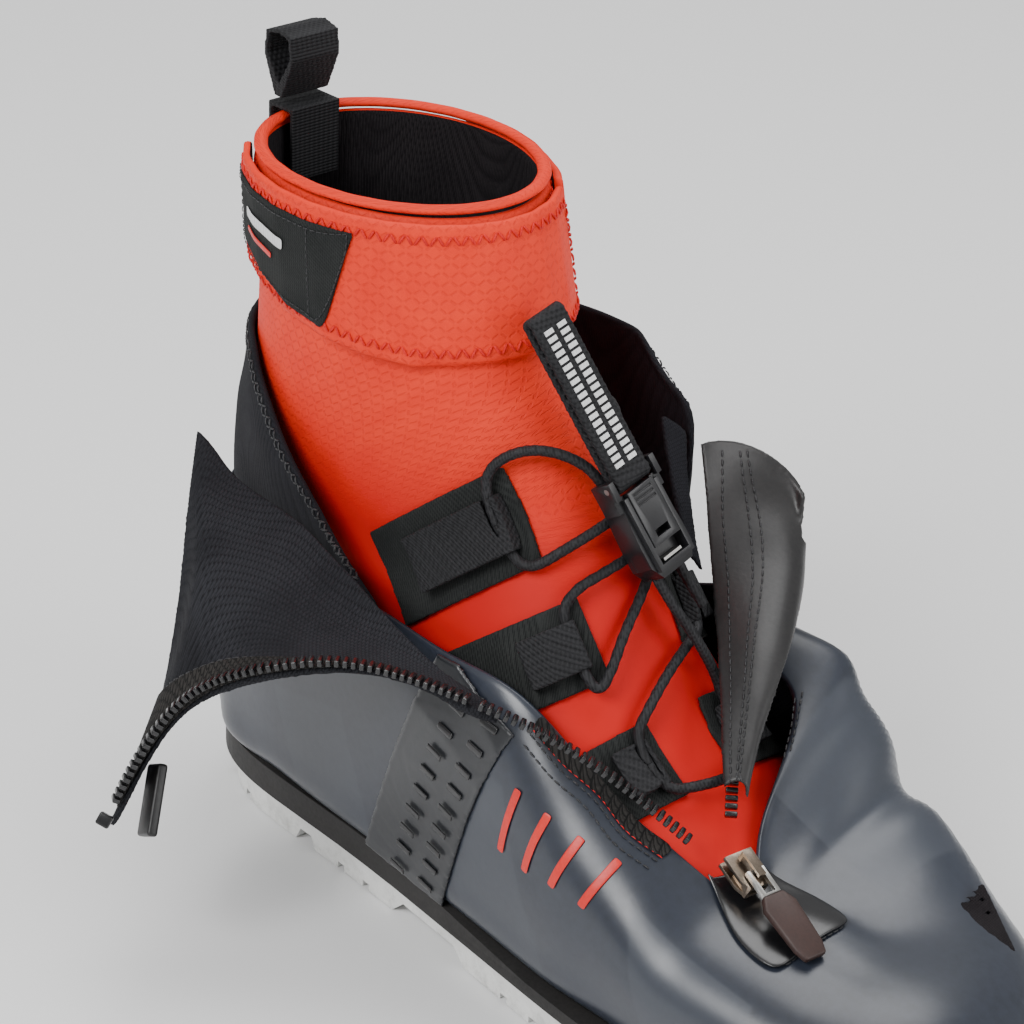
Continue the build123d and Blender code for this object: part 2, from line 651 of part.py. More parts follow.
# ---------------------------------------------------------------- small trim on the outer flap
flap_face = (-0.39, -0.86, 0.34)   # which way the turned-out flap looks near its free edge


def behind_flap(point, depth, size):
    """A small block lying behind the outer flap."""
    plane = Plane(Vector(*point) - Vector(*flap_face) * depth, (0.37, -0.48, -0.79), flap_face)
    return plane * Box(*size)


# ---------------------------------------------------------------- write the parts
save("outsole", make_outsole())
save("midsole", make_midsole())
save("lasting_board", make_board())
save("toe_bar", make_bar())
save("liner_foot", make_liner_foot())
save("liner_cuff", make_liner_cuff())
save("cuff_binding", make_cuff_binding())
save("footbed", make_footbed())
save("wrap_strap", make_wrap_strap())
save("strap_anchor", make_strap_anchor())
save("strap_label", make_strap_label())
save("strap_hook_pad", make_hook_pad())
save("pull_loop_base", make_loop_base())
save("pull_loop", make_pull_loop())
for number in loops:
    for side, word in ((-1, "outer"), (1, "inner")):
        save(f"lace_panel_{word}_{number}", make_lace_panel(number, side))
        save(f"lace_loop_{word}_{number}", make_lace_loop(number, side))
save("shell", make_shell())
save("heel_counter", make_heel_counter())
save("toe_puff", make_toe_puff())
save("instep_band", make_instep_band())
save("collar", make_collar())
save("lateral_flap", sheet(flap_rows, flap_t, -1))
save("storm_flap", sheet(storm_rows, storm_t))
save("inner_gaiter", sheet(gaiter_rows, gaiter_t))
save("zip_teeth_outer", make_teeth(teeth_outer, True))
save("zip_teeth_flap", make_teeth(teeth_outer, False))
save("zip_teeth_inner", make_teeth(inner_tooth_line(), True))
save("zip_tape_outer", make_outer_tape())
save("zip_tape_inner", make_inner_tape())
save("zip_slider", make_slider())
save("zip_pull_link", make_pull_link())
save("zip_pull_tab", make_pull_tab())
save("zip_end_stop", make_end_stop())
save("lock_body", make_lock_body())
save("lock_button", make_lock_button())
save("lock_spring", make_lock_spring())
save("lock_pin", make_lock_pin())
save("lace_handle", make_handle())
for name in laces:
    save(name, make_lace(name))
save("flap_badge", behind_flap((15, -78, 85), flap_t + 2.4, (11, 8, 0.9)))
save("flap_tab", behind_flap((38, -108, 53), flap_t + 3.5, (20, 9, 3.0)))
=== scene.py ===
# %% [markdown]
# # A cross country ski boot with its zip open
#
# The boot is sewn from soft skins: a red foam liner with a lace lock, a coated shell that opens in two
# flaps, and a black collar. The hard design already gives every piece its place and size, so this lesson
# dresses that frame. It samples the plain solids, rebuilds each soft piece as a smooth skin, and then adds
# the seams, zips, cords and finishes.

# %% Load the frame
import json
import math
import bpy
import bmesh
import numpy as np
from mathutils import Vector, Matrix, noise
from mathutils.bvhtree import BVHTree


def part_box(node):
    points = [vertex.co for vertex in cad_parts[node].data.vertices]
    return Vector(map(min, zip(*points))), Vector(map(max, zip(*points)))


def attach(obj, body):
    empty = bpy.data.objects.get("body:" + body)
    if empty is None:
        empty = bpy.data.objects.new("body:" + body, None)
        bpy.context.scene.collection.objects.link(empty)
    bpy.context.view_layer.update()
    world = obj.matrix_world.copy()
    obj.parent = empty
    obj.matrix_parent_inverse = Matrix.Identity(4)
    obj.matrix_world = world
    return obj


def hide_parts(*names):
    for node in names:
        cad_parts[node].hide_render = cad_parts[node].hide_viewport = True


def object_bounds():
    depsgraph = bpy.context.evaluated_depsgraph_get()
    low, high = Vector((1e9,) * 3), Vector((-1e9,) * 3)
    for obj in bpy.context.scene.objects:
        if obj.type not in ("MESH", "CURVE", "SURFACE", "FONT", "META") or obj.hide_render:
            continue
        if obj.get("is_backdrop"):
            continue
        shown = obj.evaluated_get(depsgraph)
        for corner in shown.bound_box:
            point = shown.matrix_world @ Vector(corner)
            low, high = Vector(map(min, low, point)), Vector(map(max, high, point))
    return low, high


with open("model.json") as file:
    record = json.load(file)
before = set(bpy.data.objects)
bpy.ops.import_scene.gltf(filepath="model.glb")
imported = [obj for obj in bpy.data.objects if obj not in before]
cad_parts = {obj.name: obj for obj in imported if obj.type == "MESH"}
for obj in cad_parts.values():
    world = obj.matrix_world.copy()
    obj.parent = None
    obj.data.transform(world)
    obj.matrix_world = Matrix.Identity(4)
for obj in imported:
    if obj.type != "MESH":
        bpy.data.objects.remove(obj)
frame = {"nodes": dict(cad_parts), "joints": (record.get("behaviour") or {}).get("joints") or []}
cad_low, cad_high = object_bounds()
MM = 0.001
print("frame loaded with", len(frame["nodes"]), "nodes")

# %% [markdown]
# ## Camera, floor and light
#
# A product picture needs a long lens, so that the boot keeps its proportions. The camera is placed from
# three directions of its own: right, up and back. The floor is a plain pale plane, and three large soft
# area lights give broad highlights on the coated cloth without hard shadows.

# %% Camera
look_at = Vector((0.060, 0.0, 0.110))
right, up = Vector((0.671, 0.741, 0.0386)), Vector((-0.368, 0.287, 0.884))
back = Vector((0.644, -0.607, 0.465))
camera_distance = 0.9
lens = bpy.data.cameras.new("camera")
lens.lens, lens.sensor_width = 113.1, 36.0
lens.shift_x, lens.shift_y = 0.0205, 0.0156
lens.clip_start = 0.01
camera = bpy.data.objects.new("camera", lens)
bpy.context.scene.collection.objects.link(camera)
turn = Matrix((right.normalized(), up.normalized(), back.normalized())).transposed().to_4x4()
camera.matrix_world = Matrix.Translation(look_at + back.normalized() * camera_distance) @ turn
bpy.context.scene.camera = camera
print("camera at", tuple(round(c, 3) for c in camera.matrix_world.translation))


# %% Floor and lights
def plain(name, colour, roughness):
    """A material with one colour, for the stage only."""
    material = bpy.data.materials.new(name)
    material.use_nodes = True
    shader = material.node_tree.nodes["Principled BSDF"]
    shader.inputs["Base Color"].default_value = (*colour, 1)
    shader.inputs["Roughness"].default_value = roughness
    return material


floor_mesh = bpy.data.meshes.new("floor")
floor_corners = [(-9, -9, -0.0004), (9, -9, -0.0004), (9, 9, -0.0004), (-9, 9, -0.0004)]
floor_mesh.from_pydata(floor_corners, [], [(0, 1, 2, 3)])
floor = bpy.data.objects.new("floor", floor_mesh)
bpy.context.scene.collection.objects.link(floor)
floor_mesh.materials.append(plain("pale floor", (0.86, 0.86, 0.86), 0.9))
floor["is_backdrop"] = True


def soft_light(name, place, size, power):
    """Area light that faces the middle of the boot."""
    lamp = bpy.data.lights.new(name, "AREA")
    lamp.shape, lamp.size, lamp.energy = "DISK", size, power
    light = bpy.data.objects.new(name, lamp)
    light.location = place
    light.rotation_euler = (Vector(place) - look_at).to_track_quat("Z", "Y").to_euler()
    bpy.context.scene.collection.objects.link(light)


soft_light("key", (0.15, -1.3, 1.25), 0.9, 24)
soft_light("fill", (1.6, 0.5, 0.9), 1.2, 14)
soft_light("top", (-0.2, 0.5, 1.8), 1.4, 22)
world = bpy.data.worlds.new("studio")
world.use_nodes = True
world.node_tree.nodes["Background"].inputs["Color"].default_value = (1.0, 1.0, 1.0, 1)
world.node_tree.nodes["Background"].inputs["Strength"].default_value = 0.45
bpy.context.scene.world = world
print("stage ready")

# %% [markdown]
# ## Shared surface effects
#
# Cloth, rubber and film repeat a few effects: a weave, a knit, a printed dash and an uneven grain. Each
# could be painted into every material, but a node group keeps it in one place with named inputs, and each
# finish then sets its own scale. The groups give only masks and heights.

# %% Node helpers
class Wiring:
    """Short calls for a node tree."""

    def __init__(self, tree):
        self.tree = tree

    def node(self, kind, **settings):
        node = self.tree.nodes.new(kind)
        for key, value in settings.items():
            setattr(node, key, value)
        return node

    def feed(self, node, values):
        for key, value in values.items():
            if hasattr(value, "is_output") and value.is_output:
                self.tree.links.new(value, node.inputs[key])
            else:
                node.inputs[key].default_value = value

    def math(self, operation, a, b=0.0, c=0.0):
        node = self.node("ShaderNodeMath", operation=operation)
        self.feed(node, {0: a, 1: b, 2: c})
        return node.outputs[0]

    def vector(self, operation, a, b=(0, 0, 0)):
        node = self.node("ShaderNodeVectorMath", operation=operation)
        self.feed(node, {0: a, 1: b})
        return node.outputs["Value" if operation == "DOT_PRODUCT" else "Vector"]

    def ramp(self, value, low, high, to_low=0.0, to_high=1.0):
        """Smooth step of value between low and high."""
        node = self.node("ShaderNodeMapRange", interpolation_type="SMOOTHSTEP")
        self.feed(node, {0: value, 1: low, 2: high, 3: to_low, 4: to_high})
        return node.outputs[0]

    def noise(self, vector, scale, detail=2.0, rough=0.5):
        node = self.node("ShaderNodeTexNoise")
        self.feed(node, {"Vector": vector, "Scale": scale, "Detail": detail, "Roughness": rough})
        return node.outputs["Fac"]

    def mix(self, share, a, b):
        node = self.node("ShaderNodeMix", data_type="RGBA")
        self.feed(node, {0: share, 6: a, 7: b})
        return node.outputs[2]

    def split(self, vector):
        node = self.node("ShaderNodeSeparateXYZ")
        self.feed(node, {0: vector})
        return node.outputs


def group(name, inputs, outputs, wire):
    """Node group with named sockets; wire(w, i) returns one socket for each output."""
    tree = bpy.data.node_groups.new(name, "ShaderNodeTree")
    for label, kind, value in inputs:
        socket = tree.interface.new_socket(label, in_out="INPUT", socket_type="NodeSocket" + kind)
        if kind == "Float":
            socket.default_value = value
    for label in outputs:
        tree.interface.new_socket(label, in_out="OUTPUT", socket_type="NodeSocketFloat")
    entry, leave = tree.nodes.new("NodeGroupInput"), tree.nodes.new("NodeGroupOutput")
    for label, socket in zip(outputs, wire(Wiring(tree), entry.outputs)):
        tree.links.new(socket, leave.inputs[label])
    return tree


# %% Weave, knit, dash and grain groups
def wire_weave(w, i):
    x, y, z = w.split(w.vector("MULTIPLY", i["Vector"], i["Threads"]))[:3]
    over = w.math("MULTIPLY", w.math("SINE", x), w.math("SINE", y))
    height = w.math("MULTIPLY_ADD", over, 0.5, 0.5)
    return [height, w.ramp(height, 0.15, 0.6)]


def wire_knit(w, i):
    x, y, z = w.split(w.vector("MULTIPLY", i["Vector"], i["Threads"]))[:3]
    lean = w.math("MULTIPLY", w.math("ABSOLUTE", w.math("SINE", x)), 1.6)
    loop = w.math("ABSOLUTE", w.math("SINE", w.math("ADD", y, lean)))
    column = w.math("ABSOLUTE", w.math("SINE", x))
    height = w.math("MULTIPLY", loop, w.ramp(column, 0.0, 0.5))
    return [height, w.ramp(height, 0.1, 0.6)]


def wire_dash(w, i):
    """Short dashes that lean left and right in turn, cell by cell."""
    x, y, z = w.split(w.vector("MULTIPLY", i["Vector"], i["Cells"]))[:3]
    row, column = w.math("FLOOR", y), w.math("FLOOR", x)
    parity = w.math("MODULO", w.math("ABSOLUTE", w.math("ADD", row, column)), 2.0)
    lean = w.math("MULTIPLY_ADD", parity, 2.0, -1.0)
    fx = w.math("SUBTRACT", w.math("FRACT", x), 0.5)
    fy = w.math("SUBTRACT", w.math("FRACT", y), 0.5)
    turned_y = w.math("MULTIPLY", w.math("MULTIPLY", fy, lean), 0.6)
    turned_x = w.math("MULTIPLY", w.math("MULTIPLY", fx, lean), 0.6)
    along = w.math("ABSOLUTE", w.math("ADD", w.math("MULTIPLY", fx, 0.8), turned_y))
    across = w.math("ABSOLUTE", w.math("SUBTRACT", w.math("MULTIPLY", fy, 0.8), turned_x))
    mask = w.math("MULTIPLY", w.ramp(along, 0.46, 0.36), w.ramp(across, 0.17, 0.09))
    return [mask]


def wire_grain(w, i):
    fine = w.noise(i["Vector"], i["Scale"], 3.0, 0.6)
    broad = w.noise(i["Vector"], w.math("MULTIPLY", i["Scale"], 0.04), 2.0, 0.5)
    return [fine, broad]


vector_in = ("Vector", "Vector", None)
weave_group = group("weave", [vector_in, ("Threads", "Float", 4000.0)], ["Height", "Thread"], wire_weave)
knit_group = group("knit", [vector_in, ("Threads", "Float", 4000.0)], ["Height", "Thread"], wire_knit)
dash_group = group("leaning dashes", [vector_in, ("Cells", "Float", 300.0)], ["Dash"], wire_dash)
grain_group = group("grain", [vector_in, ("Scale", "Float", 900.0)], ["Fine", "Broad"], wire_grain)
print("made", len(bpy.data.node_groups), "effect groups")

# %% [markdown]
# ## Finishes
#
# Every finish starts from the same three things: a colour that wanders a little, a roughness that follows
# the surface, and a relief. Cloth reflects less than plastic does, and coated cloth has a thin clear coat.
# Both are set on the shader itself. A single function makes the finish, and a small extra function adds what
# only one finish has, such as dashes or a print.

# %% Finish maker
GROUPS = {"weave": weave_group, "knit": knit_group}


def finish(name, dark, light, cloth=None, threads=4000.0, rough=0.7, relief=0.0002, grain=1200.0,
           grain_relief=0.00005, uv=False, metal=0.0, coat=0.0, shine=0.5, turned=(0, 0, 0), extra=None):
    """Material from two tones, a cloth structure and a grain."""
    material = bpy.data.materials.new(name)
    material.use_nodes = True
    w = Wiring(material.node_tree)
    shader = w.tree.nodes["Principled BSDF"]
    place = w.node("ShaderNodeTexCoord").outputs["UV" if uv else "Object"]
    mapping = w.node("ShaderNodeMapping")
    w.feed(mapping, {"Vector": place, "Rotation": tuple(math.radians(a) for a in turned)})
    place = mapping.outputs[0]
    specks = w.node("ShaderNodeGroup", node_tree=grain_group)
    w.feed(specks, {"Vector": place, "Scale": grain})
    broad = w.math("MULTIPLY", specks.outputs["Broad"], 0.55)
    tone = w.math("MULTIPLY_ADD", specks.outputs["Fine"], 0.45, broad)
    height = w.math("MULTIPLY", specks.outputs["Fine"], grain_relief * 1000)
    if cloth:
        threads_node = w.node("ShaderNodeGroup", node_tree=GROUPS[cloth])
        w.feed(threads_node, {"Vector": place, "Threads": threads})
        tone = w.math("MULTIPLY", tone, w.ramp(threads_node.outputs["Thread"], 0.0, 1.0, 0.45, 1.0))
        height = w.math("MULTIPLY_ADD", threads_node.outputs["Height"], relief * 1000, height)
    colour = w.mix(w.ramp(tone, 0.15, 0.75), (*dark, 1), (*light, 1))
    rough_now = w.math("MULTIPLY_ADD", tone, -0.12, rough + 0.05)
    if extra:
        colour, rough_now, height = extra(w, place, colour, rough_now, height)
    bump = w.node("ShaderNodeBump")
    w.feed(bump, {"Height": height, "Strength": 1.0, "Distance": 0.001})
    w.feed(shader, {"Base Color": colour, "Roughness": rough_now, "Normal": bump.outputs[0]})
    shader.inputs["Metallic"].default_value = metal
    shader.inputs["Specular IOR Level"].default_value = shine
    shader.inputs["Coat Weight"].default_value = coat
    shader.inputs["Coat Roughness"].default_value = 0.28
    return material


# %% Extras for single finishes
def embossed(w, place, colour, rough, height):
    """Leaning dashes pressed into foam, and a redder tone low on the tongue."""
    dash = w.node("ShaderNodeGroup", node_tree=dash_group)
    w.feed(dash, {"Vector": place, "Cells": 410.0})
    pressed = dash.outputs["Dash"]
    z = w.split(w.node("ShaderNodeTexCoord").outputs["Object"])[2]
    low = w.ramp(z, 0.150, 0.110)
    colour = w.mix(w.math("MULTIPLY", pressed, 0.25), colour, (0.52, 0.014, 0.005, 1))
    colour = w.mix(low, colour, (0.60, 0.006, 0.004, 1))
    shallow = w.math("MULTIPLY", w.math("SUBTRACT", 1.0, low), -0.11)
    return colour, rough, w.math("MULTIPLY_ADD", pressed, shallow, height)


def printed(w, place, colour, rough, height):
    """Broad slanted blocks of a lighter print over the coated shell."""
    x, y, z = w.split(place)[:3]
    slant = w.math("ADD", w.math("MULTIPLY", x, 24.0), w.math("MULTIPLY", z, 9.0))
    bands = w.math("FRACT", w.math("MULTIPLY", slant, 0.55))
    edge = w.math("MULTIPLY", w.ramp(bands, 0.44, 0.46), w.ramp(bands, 0.93, 0.91))
    strip = w.math("FRACT", w.math("MULTIPLY_ADD", y, 9.0, w.math("MULTIPLY", z, 3.0)))
    block = w.math("MULTIPLY", edge, w.math("MULTIPLY", w.ramp(strip, 0.30, 0.31), w.ramp(strip, 0.80, 0.79)))
    colour = w.mix(w.math("MULTIPLY", block, 0.45), colour, (0.050, 0.058, 0.074, 1))
    return colour, w.math("MULTIPLY_ADD", block, 0.06, rough), height


def ribbed(w, place, colour, rough, height):
    """Fine cross ribs of a webbing or a sewn binding."""
    x, y, z = w.split(place)[:3]
    slope = w.math("MULTIPLY_ADD", x, 0.4, z)
    rib = w.math("ABSOLUTE", w.math("SINE", w.math("MULTIPLY", slope, 3400.0)))
    colour = w.mix(w.math("MULTIPLY", rib, 0.25), colour, (0.040, 0.040, 0.043, 1))
    return colour, rough, w.math("MULTIPLY_ADD", rib, 0.18, height)


def worn_rubber(w, place, colour, rough, height):
    """Scuffs and grey dust low on moulded rubber."""
    z = w.split(place)[2]
    dust = w.math("MULTIPLY", w.ramp(z, 0.012, 0.0), w.ramp(w.noise(place, 160.0, 4.0, 0.7), 0.4, 0.75))
    colour = w.mix(w.math("MULTIPLY", dust, 0.5), colour, (0.30, 0.29, 0.27, 1))
    return colour, w.math("MULTIPLY_ADD", dust, 0.2, rough), height


# %% The finishes
ORANGE_DARK, ORANGE = (0.72, 0.020, 0.006), (0.86, 0.040, 0.011)
BLACK_DARK, BLACK = (0.004, 0.004, 0.005), (0.016, 0.016, 0.018)
finishes = {
    "cuff": finish("orange embossed foam", ORANGE_DARK, ORANGE, rough=0.62, grain=2600.0, uv=True, shine=0.22,
                   extra=embossed),
    "inside": finish("black brushed lining", (0.005, 0.004, 0.005), (0.022, 0.019, 0.021), "knit", 5200.0,
                     0.9, 0.00010, shine=0.15),
    "red_thread": finish("red thread", (0.50, 0.006, 0.004), (0.75, 0.016, 0.010), "weave", 9000.0, 0.55,
                         0.00005, shine=0.3),
    "black_thread": finish("black thread", BLACK_DARK, (0.040, 0.040, 0.044), "weave", 9000.0, 0.5, 0.00005),
    "webbing": finish("black webbing", BLACK_DARK, BLACK, "weave", 3600.0, 0.72, 0.00022, shine=0.25,
                      extra=ribbed),
    "panel": finish("fine panel textile", (0.006, 0.007, 0.007), (0.024, 0.026, 0.025), "weave", 7000.0, 0.8,
                    0.00010, turned=(30, 20, 10), shine=0.25),
    "shell": finish("coated shell", (0.012, 0.015, 0.023), (0.026, 0.032, 0.047), rough=0.32, grain=420.0,
                    grain_relief=0.00003, coat=0.3, extra=printed),
    "knit": finish("charcoal stretch knit", (0.005, 0.005, 0.007), (0.018, 0.018, 0.023), "knit", 4600.0,
                   0.85, 0.00008, shine=0.18),
    "lining": finish("grey knit lining", (0.007, 0.007, 0.009), (0.026, 0.027, 0.032), "knit", 3800.0, 0.88,
                     0.00010, turned=(40, 10, 30), shine=0.18),
    "storm": finish("rubberised storm flap", (0.005, 0.005, 0.006), (0.022, 0.021, 0.021), rough=0.44,
                    grain=700.0, grain_relief=0.00006, coat=0.12, shine=0.4),
    "tape": finish("zip tape", (0.005, 0.005, 0.005), (0.034, 0.031, 0.029), "knit", 2600.0, 0.85, 0.0003,
                   turned=(20, 35, 15), shine=0.2),
    "teeth": finish("black moulded teeth", (0.004, 0.004, 0.005), (0.012, 0.012, 0.013), rough=0.26,
                    grain=2000.0, grain_relief=0.00001, coat=0.2),
    "white": finish("white outsole rubber", (0.72, 0.72, 0.70), (0.86, 0.86, 0.84), rough=0.55, grain=900.0,
                    grain_relief=0.00005, extra=worn_rubber),
    "midsole": finish("warm grey midsole", (0.010, 0.010, 0.010), (0.032, 0.030, 0.029), rough=0.6,
                      grain=800.0, grain_relief=0.00006, shine=0.3, extra=worn_rubber),
    "steel": finish("satin steel", (0.42, 0.41, 0.39), (0.66, 0.65, 0.62), rough=0.32, grain=1800.0,
                    grain_relief=0.00001, metal=1.0),
    "bronze": finish("bronze nickel", (0.16, 0.12, 0.09), (0.36, 0.30, 0.24), rough=0.30, grain=1500.0,
                     grain_relief=0.00002, metal=1.0),
    "pull": finish("brown rubber pull", (0.014, 0.007, 0.006), (0.044, 0.020, 0.016), rough=0.5, grain=1200.0,
                   grain_relief=0.00005),
    "lock": finish("satin black lock", (0.005, 0.005, 0.006), (0.014, 0.014, 0.016), rough=0.34, grain=2400.0,
                   grain_relief=0.00003, coat=0.1),
    "band": finish("smoked instep film", (0.006, 0.007, 0.009), (0.018, 0.020, 0.024), rough=0.38,
                   grain=600.0, grain_relief=0.00003, coat=0.3),
    "patch": finish("glossy black film", (0.003, 0.003, 0.004), (0.010, 0.010, 0.011), rough=0.24,
                    grain=900.0, grain_relief=0.00002, coat=0.35),
    "silver": finish("silver badge", (0.50, 0.50, 0.52), (0.72, 0.72, 0.74), rough=0.28, grain=900.0,
                     grain_relief=0.00001, metal=0.9),
    "white_mark": finish("white woven mark", (0.62, 0.62, 0.62), (0.82, 0.82, 0.82), "weave", 6000.0, 0.6,
                         0.00005),
    "red_mark": finish("red film", (0.55, 0.012, 0.008), (0.75, 0.028, 0.018), rough=0.4, grain=900.0),
    "lace": finish("braided lace", (0.004, 0.004, 0.005), (0.024, 0.024, 0.027), "weave", 5200.0, 0.62,
                   0.0001, turned=(25, 40, 30), shine=0.3),
}
print("made", len(finishes), "finishes")

# %% [markdown]
# ## Making skins from the plain solids
#
# The plain solids have flat facets, and cloth doesn't. A subdivision modifier would round the facets but
# also lose the cut edges. So a skin is measured instead: rays are cast at the solid along planned rows, the
# hits become a clean grid, and a smoothing that keeps volume takes the facets out. A cut edge is found by
# halving steps between the last hit and the first miss, so it stays where the solid has it.

# %% Rays and rows
def tree_of(*names):
    """Search tree over the faces of some CAD nodes."""
    corners, faces = [], []
    for name in names:
        mesh = frame["nodes"][name].data
        first = len(corners)
        corners += [v.co.copy() for v in mesh.vertices]
        faces += [[first + k for k in p.vertices] for p in mesh.polygons]
    return BVHTree.FromPolygons(corners, faces)


def cast(tree, start, target):
    """First hit on the way from start to target, or None."""
    way = target - start
    return tree.ray_cast(start, way.normalized(), way.length)[0]


def last_hit(probe, known_hit, known_miss, halvings=12):
    """The value next to the cut, between one that hits and one that misses."""
    for _ in range(halvings):
        middle = (known_hit + known_miss) / 2
        if probe(middle) is None:
            known_miss = middle
        else:
            known_hit = middle
    return known_hit


def span(probe, start, end, steps=60):
    """The part of start to end over which probe hits, cut cleanly at both ends."""
    values = [start + (end - start) * k / steps for k in range(steps + 1)]
    hits = [k for k, value in enumerate(values) if probe(value) is not None]
    if not hits:
        return None
    low, high = hits[0], hits[-1]
    first = values[low] if low == 0 else last_hit(probe, values[low], values[low - 1])
    last = values[high] if high == steps else last_hit(probe, values[high], values[high + 1])
    return first, last


def ring_row(tree, origin, spoke, columns, reach=0.30):
    """Closed row round a tube: the section through origin, in the plane of spoke and the Y axis."""
    near = cast(tree, origin, origin + spoke * reach)
    far = cast(tree, origin + spoke * reach, origin)
    centre = (near + far) / 2
    row = []
    for k in range(columns + 1):
        angle = 2 * math.pi * k / columns
        out = -spoke * math.cos(angle) + Vector((0, 1, 0)) * math.sin(angle)
        row.append(cast(tree, centre + out * reach, centre))
    return row


# %% Smoothing that keeps the volume
def relax(mesh, rounds):
    """Smooths a mesh; the points of an open edge move only along that edge."""
    count = len(mesh.vertices)
    co = np.empty(count * 3)
    mesh.vertices.foreach_get("co", co)
    co = co.reshape(-1, 3)
    ends = np.empty(len(mesh.edges) * 2, int)
    mesh.edges.foreach_get("vertices", ends)
    ends = ends.reshape(-1, 2)
    used = np.empty(len(mesh.loops), int)
    mesh.loops.foreach_get("edge_index", used)
    rim = np.bincount(used, minlength=len(ends)) == 1
    on_rim = np.zeros(count, bool)
    on_rim[ends[rim].ravel()] = True
    pulled = np.concatenate([ends[:, 0], ends[:, 1]])
    by = np.concatenate([ends[:, 1], ends[:, 0]])
    counts = ~on_rim[pulled] | np.concatenate([rim, rim])
    pulled, by = pulled[counts], by[counts]
    share = np.maximum(np.bincount(pulled, minlength=count), 1)
    for _ in range(rounds):
        for step in (0.5, -0.52):
            mean = np.stack([np.bincount(pulled, co[by, k], count) / share for k in range(3)], 1)
            co = co + step * (mean - co)
    mesh.vertices.foreach_set("co", co.ravel())
    mesh.update()


def crease_folds(mesh, depth, size, seed=0.0):
    """Soft uneven folds: moves points along their normals by smooth noise."""
    for v in mesh.vertices:
        place = v.co / size + Vector((seed, seed * 0.7, -seed))
        v.co += v.normal * noise.noise(place) * depth
    mesh.update()


# %% Placing a piece
def place_piece(piece, body, stands_for=()):
    if not piece.users_collection:
        bpy.context.scene.collection.objects.link(piece)
    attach(piece, body)
    if stands_for:
        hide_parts(*stands_for)
    return piece


def skin(name, grids, material, body, stands_for=(), thick=0.0, lining=None, rounds=12, anchor=(0, 0),
         folds=None, level=1):
    """Cloth skin from one or more grids of points, with a real thickness and a UV map in metres."""
    bm = bmesh.new()
    uv = bm.loops.layers.uv.new("UVMap")
    for grid in grids:
        points = np.array([[tuple(p) for p in row] for row in grid])
        across = np.linalg.norm(np.diff(points, axis=1, prepend=points[:, :1]), axis=2).cumsum(axis=1)
        along = np.linalg.norm(np.diff(points, axis=0, prepend=points[:1]), axis=2).cumsum(axis=0)
        across -= across[:, anchor[1]][:, None]
        along -= along[anchor[0]][None, :]
        corner = [[bm.verts.new(p) for p in row] for row in points]
        for i in range(len(points) - 1):
            for j in range(len(points[0]) - 1):
                spots = ((i, j), (i, j + 1), (i + 1, j + 1), (i + 1, j))
                face = bm.faces.new([corner[a][b] for a, b in spots])
                face.smooth = True
                for loop, (a, b) in zip(face.loops, spots):
                    loop[uv].uv = (across[a, b], along[a, b])
    bmesh.ops.remove_doubles(bm, verts=bm.verts, dist=1e-5)
    bmesh.ops.dissolve_degenerate(bm, edges=bm.edges, dist=1e-6)
    bmesh.ops.recalc_face_normals(bm, faces=bm.faces)
    middle = sum((v.co for v in bm.verts), Vector()) / len(bm.verts)
    outward = sum(f.normal.dot(f.calc_center_median() - middle) * f.calc_area() for f in bm.faces)
    if outward < 0:
        bmesh.ops.reverse_faces(bm, faces=bm.faces)
    mesh = bpy.data.meshes.new(name)
    bm.to_mesh(mesh)
    bm.free()
    relax(mesh, rounds)
    if folds:
        crease_folds(mesh, *folds)
    mesh.materials.append(material)
    piece = bpy.data.objects.new(name, mesh)
    if thick:
        solid = piece.modifiers.new("thickness", "SOLIDIFY")
        solid.thickness, solid.offset, solid.use_even_offset = thick, -1.0, False
        if lining:
            mesh.materials.append(lining)
            solid.material_offset = 1
    smooth = piece.modifiers.new("smooth", "SUBSURF")
    smooth.levels = smooth.render_levels = level
    print(name, len(mesh.vertices), "points")
    return place_piece(piece, body, stands_for)


def final_mesh(piece):
    """The mesh of a piece with its modifiers applied."""
    bpy.context.view_layer.update()
    graph = bpy.context.evaluated_depsgraph_get()
    return bpy.data.meshes.new_from_object(piece.evaluated_get(graph))


def tree_of_piece(piece):
    """Search tree over the outside of a piece, before its thickness is added."""
    corners = [v.co.copy() for v in piece.data.vertices]
    return BVHTree.FromPolygons(corners, [list(p.vertices) for p in piece.data.polygons])


# %% [markdown]
# ## Softening and rounding a solid
#
# Some solids have the right shape but knife-sharp edges. Webbing and thin sheets are remeshed with small
# voxels and relaxed, which rounds them all over as cloth is. Moulded parts keep their flats, so a bevel
# rounds only their corners.

# %% Soften and round
def clean_copy(name, node):
    """Object with a welded copy of a CAD node's mesh."""
    bm = bmesh.new()
    bm.from_mesh(frame["nodes"][node].data)
    bmesh.ops.remove_doubles(bm, verts=bm.verts, dist=2e-6)
    mesh = bpy.data.meshes.new(name)
    bm.to_mesh(mesh)
    bm.free()
    mesh.materials.clear()
    piece = bpy.data.objects.new(name, mesh)
    bpy.context.scene.collection.objects.link(piece)
    return piece


def soften(name, node, material, body, voxel=0.0006, rounds=6, folds=None):
    """Cloth version of a CAD solid: voxel remesh, then smoothing and folds."""
    piece = clean_copy(name, node)
    grid = piece.modifiers.new("grid", "REMESH")
    grid.mode, grid.voxel_size, grid.adaptivity = "VOXEL", voxel, 0.0
    mesh = final_mesh(piece)
    piece.modifiers.clear()
    piece.data = mesh
    mesh.name = name
    relax(mesh, rounds)
    if folds:
        crease_folds(mesh, *folds)
    mesh.polygons.foreach_set("use_smooth", [True] * len(mesh.polygons))
    mesh.materials.clear()
    mesh.materials.append(material)
    print(name, len(mesh.vertices), "points")
    return place_piece(piece, body, (node,))


